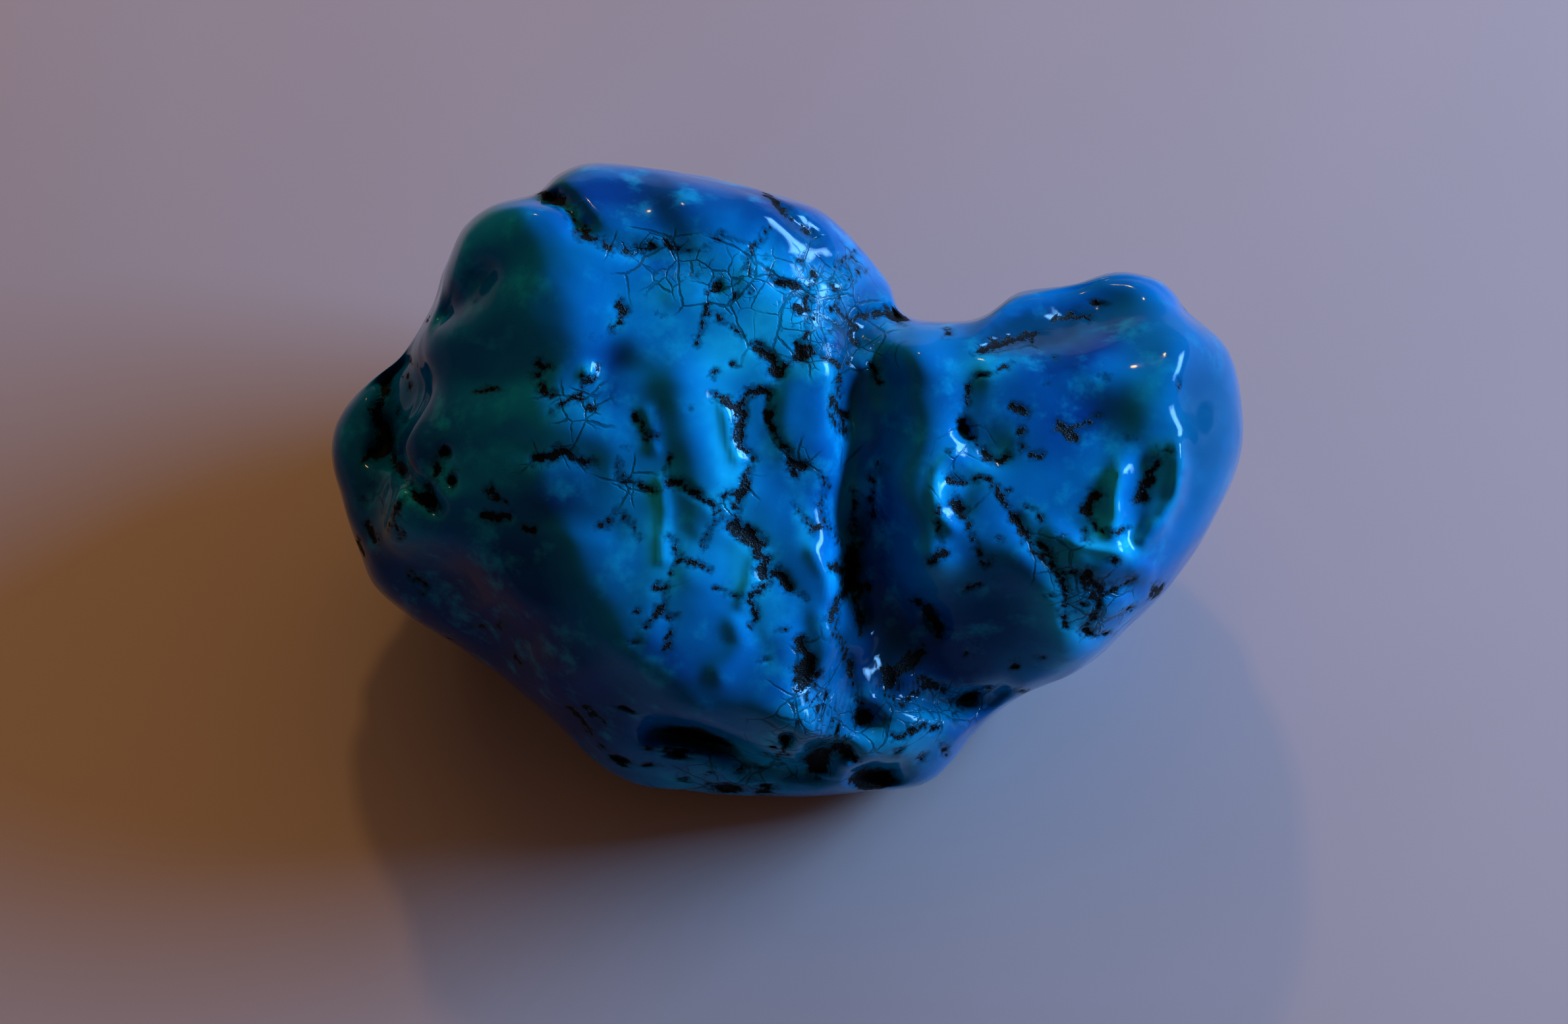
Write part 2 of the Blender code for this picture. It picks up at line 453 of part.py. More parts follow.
def relief(u, v):
    """Height of the show face's relief: bell-shaped strokes and swells, flat-topped nodules and hollows."""
    height = np.zeros(len(u))
    for rise, width, path in STROKES:
        if width >= FINEST_RELIEF:
            height += rise * np.exp(-((to_path(path, u, v) / width) ** 2))
    for *oval, rise in SWELLS:
        height += rise * np.exp(-(in_oval(u, v, *oval) ** 2))
    for *oval, rise in NODULES:
        height += rise / (1 + in_oval(u, v, *oval) ** 6)
    for *oval, depth in HOLLOWS:
        if oval[3] >= FINEST_RELIEF:
            height -= depth / (1 + in_oval(u, v, *oval) ** 5)
    return height


def back_swell(points):
    """Height of the hidden sides' swells: bell-shaped lumps and dents, and a sum of even waves."""
    height = np.zeros(len(points))
    for middle, radius, rise in BACK_SWELLS:
        height += rise * np.exp(-((points - np.array(middle)) ** 2).sum(axis=1) / radius**2)
    for length, rise, way, shift in BACK_WAVES:
        way = np.array(way) / np.linalg.norm(way)
        height += rise * np.sin(2 * np.pi * points @ way / length + shift)
    return height


def skin(cells):
    """Points of the finished skin in the stand frame, and its quads."""
    ball, quads = cube_ball(cells)
    ball = ball + np.array([0.0, 0.0, BALL_LEAN])
    ball = ball / np.linalg.norm(ball, axis=1, keepdims=True)
    ways = BALL_MIDDLE + ball * BALL_RADII - HEART
    base = cast(ways / np.linalg.norm(ways, axis=1, keepdims=True))
    out = slope(base)
    facing = np.clip((out[:, 2] - 0.10) / 0.35, 0, 1)
    facing = facing**2 * (3 - 2 * facing)
    across = drawn_in(base)
    hidden = np.clip((0.2 - out[:, 2]) / 0.6, 0, 1) ** 2
    off_rest = np.clip((to_stand(base)[:, 2] - LOWEST) / REST_FADE, 0, 1)
    height = facing * relief(across[:, 0], across[:, 1]) + hidden * off_rest * back_swell(base)
    stand = to_stand(base + out * height[:, None])
    stand[:, 2] = np.maximum(stand[:, 2], LOWEST - 0.05)
    return stand, quads


def polished_turquoise():
    """Bright blue stone with a wet-looking polish."""
    material = bpy.data.materials.new("polished_turquoise")
    material.use_nodes = True
    surface = material.node_tree.nodes["Principled BSDF"]
    surface.inputs["Base Color"].default_value = (0.003, 0.130, 0.330, 1.0)
    surface.inputs["Roughness"].default_value = 0.12
    return material


def to_origin(mesh):
    """Levels the rest, then moves the middle of the box over the origin and the rest onto z = 0."""
    points = np.empty(len(mesh.vertices) * 3)
    mesh.vertices.foreach_get("co", points)
    points = points.reshape(-1, 3)
    points[:, 2] = np.maximum(points[:, 2], LOWEST / 1000)
    low, high = points.min(axis=0), points.max(axis=0)
    points -= np.array([(low[0] + high[0]) / 2, (low[1] + high[1]) / 2, low[2]])
    mesh.vertices.foreach_set("co", points.reshape(-1))
    mesh.update()


def main():
    for obj in list(bpy.data.objects):
        bpy.data.objects.remove(obj)
    points, quads = skin(FINE_CELLS)
    fine_mesh = bpy.data.meshes.new("fine_skin")
    fine_mesh.from_pydata((points / 1000).tolist(), [], quads.tolist())
    fine = bpy.data.objects.new("fine_skin", fine_mesh)
    bpy.context.scene.collection.objects.link(fine)
    thinning = fine.modifiers.new("thinning", "DECIMATE")
    thinning.ratio = TRIANGLES / (2 * len(quads))
    bpy.context.view_layer.update()
    thinned = bpy.data.meshes.new_from_object(fine.evaluated_get(bpy.context.evaluated_depsgraph_get()))
    bpy.data.objects.remove(fine)
    thinned.name = "turquoise_nugget"
    thinned.materials.append(polished_turquoise())
    to_origin(thinned)
    nugget = bpy.data.objects.new("turquoise_nugget", thinned)
    bpy.context.scene.collection.objects.link(nugget)


main()
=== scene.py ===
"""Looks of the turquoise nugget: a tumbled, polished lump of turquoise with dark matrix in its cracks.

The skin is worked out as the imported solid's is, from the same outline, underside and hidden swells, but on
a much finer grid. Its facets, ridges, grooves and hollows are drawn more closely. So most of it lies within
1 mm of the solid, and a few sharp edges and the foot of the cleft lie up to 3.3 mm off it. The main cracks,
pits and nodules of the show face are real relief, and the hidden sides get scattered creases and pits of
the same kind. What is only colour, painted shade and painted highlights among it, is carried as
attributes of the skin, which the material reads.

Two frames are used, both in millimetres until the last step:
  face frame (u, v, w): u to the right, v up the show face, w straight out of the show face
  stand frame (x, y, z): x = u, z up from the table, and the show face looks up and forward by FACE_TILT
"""

import itertools

import bpy
import numpy as np
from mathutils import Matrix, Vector


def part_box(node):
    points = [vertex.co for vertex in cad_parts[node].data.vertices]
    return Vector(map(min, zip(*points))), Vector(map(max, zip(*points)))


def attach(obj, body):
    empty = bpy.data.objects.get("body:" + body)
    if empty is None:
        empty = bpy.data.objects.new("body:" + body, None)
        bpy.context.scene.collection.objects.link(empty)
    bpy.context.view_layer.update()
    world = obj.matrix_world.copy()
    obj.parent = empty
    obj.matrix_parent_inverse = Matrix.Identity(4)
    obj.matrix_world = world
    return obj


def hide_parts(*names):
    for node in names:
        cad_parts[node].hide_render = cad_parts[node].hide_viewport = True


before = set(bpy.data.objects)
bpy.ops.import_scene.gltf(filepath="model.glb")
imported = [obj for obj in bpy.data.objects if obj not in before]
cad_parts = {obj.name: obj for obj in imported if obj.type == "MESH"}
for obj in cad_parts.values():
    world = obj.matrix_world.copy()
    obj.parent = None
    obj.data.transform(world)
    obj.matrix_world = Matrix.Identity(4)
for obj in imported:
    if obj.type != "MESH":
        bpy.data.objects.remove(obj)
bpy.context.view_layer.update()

# Driving dimensions, mm and degrees
FACE_TILT = 68.0  # how far above level the show face looks
CONE_TIP = 372.0  # tip of the cone in which the outline is drawn in, above the show face's plane
LOWEST = -16.0  # height of the flat rest in the stand frame
REST_SUNK = 1.1  # the field's floor lies this far below the rest, because the rounding lifts it
REST_FADE = 4.0  # waves and hidden relief die out over this height above the rest
REST_ROUNDING = 1.7
WALL_WIDEST = -4.0  # w of the wall's widest line where v is 0
WALL_LEAN = 0.20  # rise of the widest line for each mm of v
WALL_BULGE_FRONT = 45.0  # radius of the wall's parabola in front of the widest line
WALL_BULGE_BACK = 14.0
WALL_STEEPNESS = 0.9
EDGE_ROUNDING = 0.42
JOIN_ROUNDING = 0.9
SKIN_ROUNDING = 0.7
CELLS = 128  # to each side of the cube ball: 6 * 128 * 128 * 2 = 196,608 triangles
MOST_REACH = 48.0

# Middle of the stone, in the face frame: each ray to the skin starts here
HEART = np.array([5.6, 1.0, -5.0])
# Ball that spreads the rays evenly over the skin: its middle and its half sizes
BALL_MIDDLE = np.array([0.0, 1.0, -4.0])
BALL_RADII = np.array([26.0, 18.0, 12.0])
BALL_LEAN = 0.3
# Slow waves that the facets' edges follow: height, then radians for each mm of u and of v, and shift
SWAY_SIDEWAYS = [(0.55, 0.0, 0.47, 0.9), (0.35, -0.3, 1.05, 2.0)]
SWAY_UPWARD = [(0.40, 0.40, 0.0, 0.3), (0.25, 0.9, 0.5, 1.1)]
# Waviness of the whole skin: grain, height from trough to crest, seed
WAVES = [(6.5, 0.45, 70), (2.6, 0.16, 71), (1.2, 0.05, 72)]
# Wanders: grain, reach, seed. The sweep bends all relief, and the fray roughens the marks' rims further
SWEEP = [(5.0, 0.40, 91), (1.1, 0.10, 51)]
FRAY = [(1.1, 0.16, 54), (0.45, 0.15, 61)]

# Outline of the show face (u, v), once round from the right-hand end
OUTLINE = [
    (30.0, 6.8), (29.5, 9.6), (28.5, 11.4), (26.4, 13.2), (25.6, 14.4), (24.2, 15.5), (22.0, 15.9),
    (19.0, 15.1), (15.4, 14.5), (13.8, 13.4), (12.2, 12.75), (9.0, 12.75), (7.6, 13.5), (6.9, 15.2),
    (5.3, 17.1), (2.6, 19.6), (-0.4, 20.8), (-5.0, 21.9), (-10.4, 22.8), (-13.0, 22.9), (-14.8, 22.2),
    (-16.4, 20.9), (-19.4, 20.1), (-21.2, 18.6), (-22.4, 16.2), (-23.3, 13.6), (-25.3, 11.0),
    (-27.5, 8.9), (-29.2, 6.8), (-30.0, 4.4), (-29.2, 1.0), (-28.0, -2.6), (-26.6, -5.4), (-22.6, -8.3),
    (-18.2, -11.4), (-14.3, -14.8), (-11.4, -17.8), (-7.8, -19.35), (-3.0, -19.1), (1.6, -19.0),
    (5.6, -18.4), (9.2, -18.2), (11.0, -16.6), (12.6, -14.4), (15.4, -12.2), (19.5, -10.4),
    (22.6, -7.8), (25.3, -5.2), (27.2, -2.4), (29.0, 1.0), (30.0, 4.2),
]

# Facets: a point (u, v, w), then the fall in w for each mm toward +u and toward +v
LEFT_LOBE = [
    (-2.0, 4.0, 9.1, 0.10, -0.03),  # plateau
    (-9.0, -2.0, 9.3, 0.10, -0.03),  # crest of the plateau
    (-2.0, -9.0, 8.75, 0.18, -0.12),  # brow of the front
    (-10.0, -8.4, 9.1, -0.65, -1.10),  # corner of the front
    (-12.0, 13.0, 9.6, 0.06, 0.04),  # top of the boss
    (-15.5, 13.0, 9.4, -0.45, 0.04),  # left side of the boss
    (-4.0, 19.5, 7.6, 0.15, 0.95),  # crown
    (-21.5, 14.0, 5.6, -0.95, 0.15),  # shoulder of the boss
    (-24.6, 9.0, 0.0, -4.0, 0.6),  # cliff of the boss over the toe
    (-14.0, 0.0, 9.8, -0.50, -0.26),  # left slope
    (-16.0, -5.8, 8.6, -1.39, -1.60),  # long flank
    (-4.0, -13.4, 6.8, -0.20, -1.90),  # front
    (4.1, 2.0, 6.4, 1.80, -0.16),  # side of the cleft
    (3.6, 10.0, 7.9, 2.20, 0.20),  # upper side of the cleft
    (4.8, 15.5, 4.6, 0.75, 0.45),  # back right shoulder
]
RIGHT_LOBE = [
    (16.5, 2.5, 7.4, 0.03, 0.02),  # top
    (7.4, 3.0, 6.4, -1.10, -0.10),  # side of the cleft
    (27.4, 5.0, 5.1, 1.05, 0.41),  # outer flank
    (18.0, 10.0, 6.3, 0.05, 1.10),  # back
    (15.5, -7.0, 4.3, -0.10, -0.85),  # lower facet
    (24.0, -3.5, 4.9, 0.75, -0.75),  # lower right shoulder
    (8.6, -7.4, 3.4, -1.10, -0.70),  # lower left shoulder
]
# Lumps: middle (u, v, w), half sizes, turn in degrees, squareness
LUMPS = [
    ((-24.5, 1.5, -6.5), (7.0, 9.5, 6.0), 12.0, 2.6),  # toe on the left
    ((20.5, 12.0, -3.0), (8.5, 4.6, 4.6), 12.0, 2.6),  # ledge behind the right lobe
    ((4.5, -13.0, -6.4), (9.2, 6.4, 6.6), 8.0, 2.1),  # sill below the cleft
    ((11.0, 10.5, -3.0), (6.0, 4.0, 5.4), 0.0, 2.4),  # root behind the cleft
    ((6.0, -12.8, -2.4), (4.2, 3.9, 5.6), 0.0, 2.0),  # foot of the cleft
]
# Cuts of the underside in the stand frame: bearing, lean below level, distance from the origin
UNDERCUTS = [
    (8, 40, 25.5), (58, 52, 22.5), (108, 42, 23.5), (152, 50, 25.0),
    (198, 38, 28.0), (246, 53, 21.0), (288, 40, 23.0), (332, 50, 23.0),
]

# Ridges and grooves: (height, half width, points (u, v) along it)
STROKES = [
    # left lobe: creases round the boss and the crown
    (-1.00, 0.70, [(-16.6, 21.3), (-14.2, 20.3), (-13.2, 19.0)]),
    (-0.33, 0.72, [(-13.2, 18.6), (-11.2, 17.6), (-9.2, 17.0)]),
    (-0.28, 1.50, [(-9.0, 22.0), (-8.2, 19.5), (-7.2, 17.4)]),
    (0.28, 1.70, [(-6.0, 20.6), (-3.6, 19.9), (-1.4, 19.6)]),
    (-0.33, 0.60, [(-1.2, 20.6), (-0.5, 19.7), (1.0, 18.4), (1.8, 18.0)]),
    (0.20, 1.30, [(0.9, 18.0), (3.2, 17.2), (4.6, 15.4)]),
    (-0.44, 0.60, [(3.2, 15.9), (4.2, 15.9), (4.7, 16.9)]),
    (-0.28, 1.08, [(-9.5, 16.6), (-6.5, 16.6), (-3.6, 17.6), (-1.5, 17.2)]),
    (0.15, 1.08, [(-2.6, 14.2), (0.0, 13.3), (1.6, 12.5)]),
    (-1.00, 0.90, [(-22.6, 13.2), (-21.3, 13.6), (-20.2, 14.4), (-19.3, 15.8)]),
    (0.39, 1.80, [(-21.6, 16.0), (-20.0, 18.0), (-17.0, 19.2)]),
    (-0.33, 1.20, [(-19.8, 8.6), (-18.6, 8.2), (-17.0, 8.8)]),
    # toe and the cliff of the boss above it
    (-1.30, 0.80, [(-24.4, 12.2), (-25.9, 9.0), (-26.5, 7.0), (-26.8, 5.0), (-27.0, 4.0)]),
    (-0.90, 0.60, [(-26.0, 3.9), (-25.2, 2.6), (-23.8, 1.4), (-22.8, 0.5)]),
    (0.28, 1.08, [(-24.6, 8.0), (-24.6, 5.2), (-23.2, 3.2), (-21.6, 1.4)]),
    (-0.39, 0.72, [(-22.9, 3.0), (-22.2, 3.6), (-21.8, 2.2)]),
    # left slope: dark bands and the dip between them
    (-0.28, 1.08, [(-18.2, 4.9), (-16.0, 4.1), (-14.0, 3.9), (-12.8, 3.6)]),
    (-0.22, 1.08, [(-20.6, 0.4), (-18.6, -0.2), (-14.0, -0.2), (-11.6, -0.7)]),
    (0.20, 1.70, [(-16.0, 6.6), (-12.6, 5.6), (-10.4, 4.2)]),
    # plateau: its left ridge, the tongue, the slabs
    (1.00, 2.00, [(-6.6, 8.2), (-6.0, 5.6), (-5.6, 3.8), (-5.0, 2.0)]),
    (0.10, 1.00, [(-8.9, 5.6), (-8.5, 3.6), (-8.2, 1.6), (-8.8, -1.0), (-8.6, -3.6), (-9.4, -6.6)]),
    (0.18, 1.20, [(-3.9, -0.6), (-2.9, -2.2), (-2.2, -4.4)]),
    (0.38, 0.80, [(-3.0, -7.6), (-2.6, -8.8), (-4.0, -10.6)]),
    (0.20, 1.30, [(-2.4, 1.6), (-0.6, -0.6), (0.8, -2.2), (2.0, -4.4)]),
    (0.34, 0.55, [(2.0, -2.6), (3.0, -4.2), (3.2, -5.6)]),
    # sharp rims that catch the light
    (0.50, 0.55, [(25.9, 4.2), (26.0, 2.6), (25.6, 0.6), (24.8, -0.8), (23.6, -1.8)]),
    (0.50, 0.50, [(22.1, 2.6), (21.9, 1.0), (21.8, -1.0)]),
    (0.35, 0.45, [(19.0, -1.8), (20.6, -2.3), (22.0, -2.6)]),
    (0.32, 0.45, [(10.9, 3.6), (10.1, 2.6), (9.9, 1.2), (10.3, -0.2), (11.0, -1.2)]),
    (0.34, 0.42, [(-3.8, 7.0), (-3.4, 5.2), (-3.0, 3.4)]),
    (0.26, 0.42, [(-7.9, 2.0), (-7.9, 0.2), (-8.1, -1.6), (-8.0, -3.0)]),
    (0.26, 0.42, [(-8.7, 6.4), (-8.3, 5.2), (-8.2, 4.0)]),
    (0.26, 0.45, [(-1.7, -2.8), (-2.0, -4.4), (-2.6, -6.0)]),
    # cleft
    (-0.85, 1.20, [(6.9, 12.4), (5.4, 11.4), (4.4, 9.8), (4.1, 7.6), (4.3, 5.0), (4.7, 2.0), (4.7, -1.0)]),
    (-1.20, 1.10, [(4.6, -1.0), (4.4, -3.0), (4.5, -5.0), (4.9, -6.8)]),
    (-0.33, 0.78, [(4.9, -6.8), (4.3, -8.6), (4.2, -10.4), (4.7, -12.4)]),
    (0.24, 1.10, [(2.6, -7.0), (3.1, -9.0), (3.5, -11.4)]),
    (-0.26, 0.96, [(1.4, -7.4), (1.6, -9.0), (1.5, -10.8), (2.7, -12.0)]),
    (-0.44, 0.72, [(6.5, 9.2), (7.0, 8.2), (6.8, 7.4)]),
    # right lobe
    (0.30, 1.60, [(8.2, 10.8), (9.0, 9.0), (9.2, 6.0), (9.0, 3.0), (8.8, 0.0), (9.2, -2.4)]),
    (-0.28, 1.08, [(11.8, 8.2), (11.6, 5.4), (12.6, 4.2), (14.0, 3.9)]),
    (-0.33, 0.84, [(10.9, 2.2), (12.0, 1.9), (11.6, 0.2)]),
    (-0.22, 1.20, [(12.2, 10.4), (14.3, 10.9), (16.2, 11.5), (18.4, 12.4)]),
    (0.28, 1.30, [(13.6, 9.5), (16.6, 10.0), (19.6, 10.7), (23.0, 12.2)]),
    (0.60, 2.00, [(26.4, 11.4), (25.4, 9.2), (24.7, 7.0), (24.6, 5.0)]),
    (-0.22, 0.96, [(24.9, 4.8), (24.0, 4.0), (23.3, 3.0)]),
    (0.33, 0.96, [(22.2, 3.0), (22.0, 1.0), (21.9, -1.0), (22.3, -2.4)]),
    (-0.39, 0.72, [(23.9, 3.0), (23.7, 1.2), (23.3, -0.8), (23.0, -1.6)]),
    (0.44, 0.96, [(17.9, -1.4), (19.6, -2.0), (21.4, -2.2)]),
    (-0.22, 0.84, [(15.0, -0.6), (16.3, -2.0), (17.6, -3.2), (18.3, -4.6), (19.2, -6.4), (20.3, -7.8)]),
    (-0.15, 0.72, [(18.0, -3.7), (19.8, -4.0), (20.0, -4.6), (22.4, -4.6)]),
    (0.20, 1.20, [(15.6, -3.0), (17.0, -4.6), (18.0, -6.6), (18.2, -8.6)]),
    # lip of the long flank, and the groove under it
    (0.33, 1.20, [(-9.5, -12.4), (-6.5, -13.0), (-3.6, -13.9), (-1.4, -15.3)]),
    (-1.40, 0.90, [(-8.6, -14.6), (-5.6, -15.4), (-2.4, -16.8), (0.4, -17.4)]),
    (-1.00, 0.80, [(6.5, -11.6), (9.5, -12.4), (12.4, -12.6), (14.6, -11.6)]),
    (0.39, 1.08, [(3.6, -18.4), (5.2, -16.2), (7.6, -15.4), (9.8, -13.8)]),
]
# Swellings: (u, v, half length, half width, turn in degrees, height)
SWELLS = [
    (-15.2, 1.4, 3.4, 2.0, -4, -0.6),  # dip on the left slope
    (20.4, 6.4, 2.6, 2.4, 0, -0.7),  # dimple of the right lobe
    (19.6, 13.0, 4.6, 1.7, 14, -1.2),  # trough behind the right lobe
    (8.6, 10.4, 1.8, 1.6, 0, 0.6),  # upper left corner of the right lobe
    (-13.4, 13.4, 2.0, 3.6, 0, 0.45),  # boss
    (13.6, 4.6, 1.6, 1.4, 0, -0.4),  # dent beside that lobe's dark pits
    (-12.9, 9.1, 0.6, 0.55, 0, 0.5),  # pale knob
    (-11.3, 9.6, 1.6, 1.2, 20, -0.6),  # dip beside the knob
    (-16.5, 14.0, 4.6, 3.4, 60, 0.5),  # left shoulder of the boss
    (-6.0, -4.6, 2.2, 3.0, 0, 0.35),  # lower plateau
    (14.0, -7.0, 3.2, 4.0, 20, 0.5),  # lower facet of the right lobe
    (9.6, -3.6, 1.7, 1.3, 0, 0.6),  # lower left shoulder of it
    (4.9, -10.6, 1.0, 1.4, 0, 0.4),  # foot of the cleft
    (20.9, -3.4, 1.5, 0.8, 0, 0.4),  # swell under the rims
    (-25.8, 0.6, 1.6, 1.2, -30, 0.5),  # toe
    (11.0, -14.6, 1.8, 1.1, 30, 0.5),  # right end of the sill
]
# Flat-topped nodules: (u, v, half length, half width, turn in degrees, height)
NODULES = [
    (1.55, 6.8, 2.05, 3.5, -8, 0.60),
    (24.9, 1.1, 1.55, 3.1, -8, 0.54),
    (20.9, -1.0, 0.9, 1.0, 0, 0.21),
    (-4.9, -0.7, 1.5, 1.2, -30, 0.20),
    (-5.4, -3.6, 1.5, 1.9, -15, 0.20),
    (-0.1, -7.0, 1.4, 1.9, 10, 0.20),
    (-8.7, -7.9, 0.75, 1.1, 0, 0.17),
    (5.5, 9.6, 0.8, 1.0, 20, 0.27),
    (5.2, 14.4, 1.3, 1.0, -50, 0.27),
    (2.9, 14.2, 1.2, 0.9, 20, 0.21),
    (0.6, 15.6, 1.3, 0.9, -20, 0.27),
    (-2.0, 15.6, 1.1, 0.9, 10, 0.21),
    (-6.8, 14.6, 1.2, 1.0, 40, 0.20),
    (4.2, -6.7, 0.55, 1.0, 0, 0.33),
    (4.9, -9.0, 0.7, 0.6, 0, 0.21),
    (19.2, -3.0, 0.9, 0.6, 0, 0.21),
    (21.6, -5.9, 0.9, 0.8, 0, 0.21),
    (23.2, -4.0, 0.8, 0.8, 0, 0.21),
]
# Hollows with a rim: (u, v, half length, half width, turn in degrees, depth)
HOLLOWS = [
    (-5.8, -14.9, 3.1, 1.15, -16, 1.6),
    (2.3, -16.5, 1.2, 1.7, -20, 1.6),
    (3.7, -15.8, 1.2, 0.5, -20, 0.9),
    (5.8, -17.5, 1.9, 0.95, 4, 1.5),
    (5.2, -13.7, 1.1, 0.95, -15, 1.1),
    (11.9, -12.3, 0.95, 0.6, 24, 0.9),
    (0.5, -14.6, 0.45, 0.45, 0, 0.5),
    (4.3, -3.6, 1.2, 0.6, -80, 0.6),
    (9.9, -7.3, 0.75, 0.7, -60, 0.7),
    (11.6, 5.3, 0.65, 0.5, -50, 0.8),
    (-26.9, 5.3, 1.5, 0.55, 82, 1.0),
]
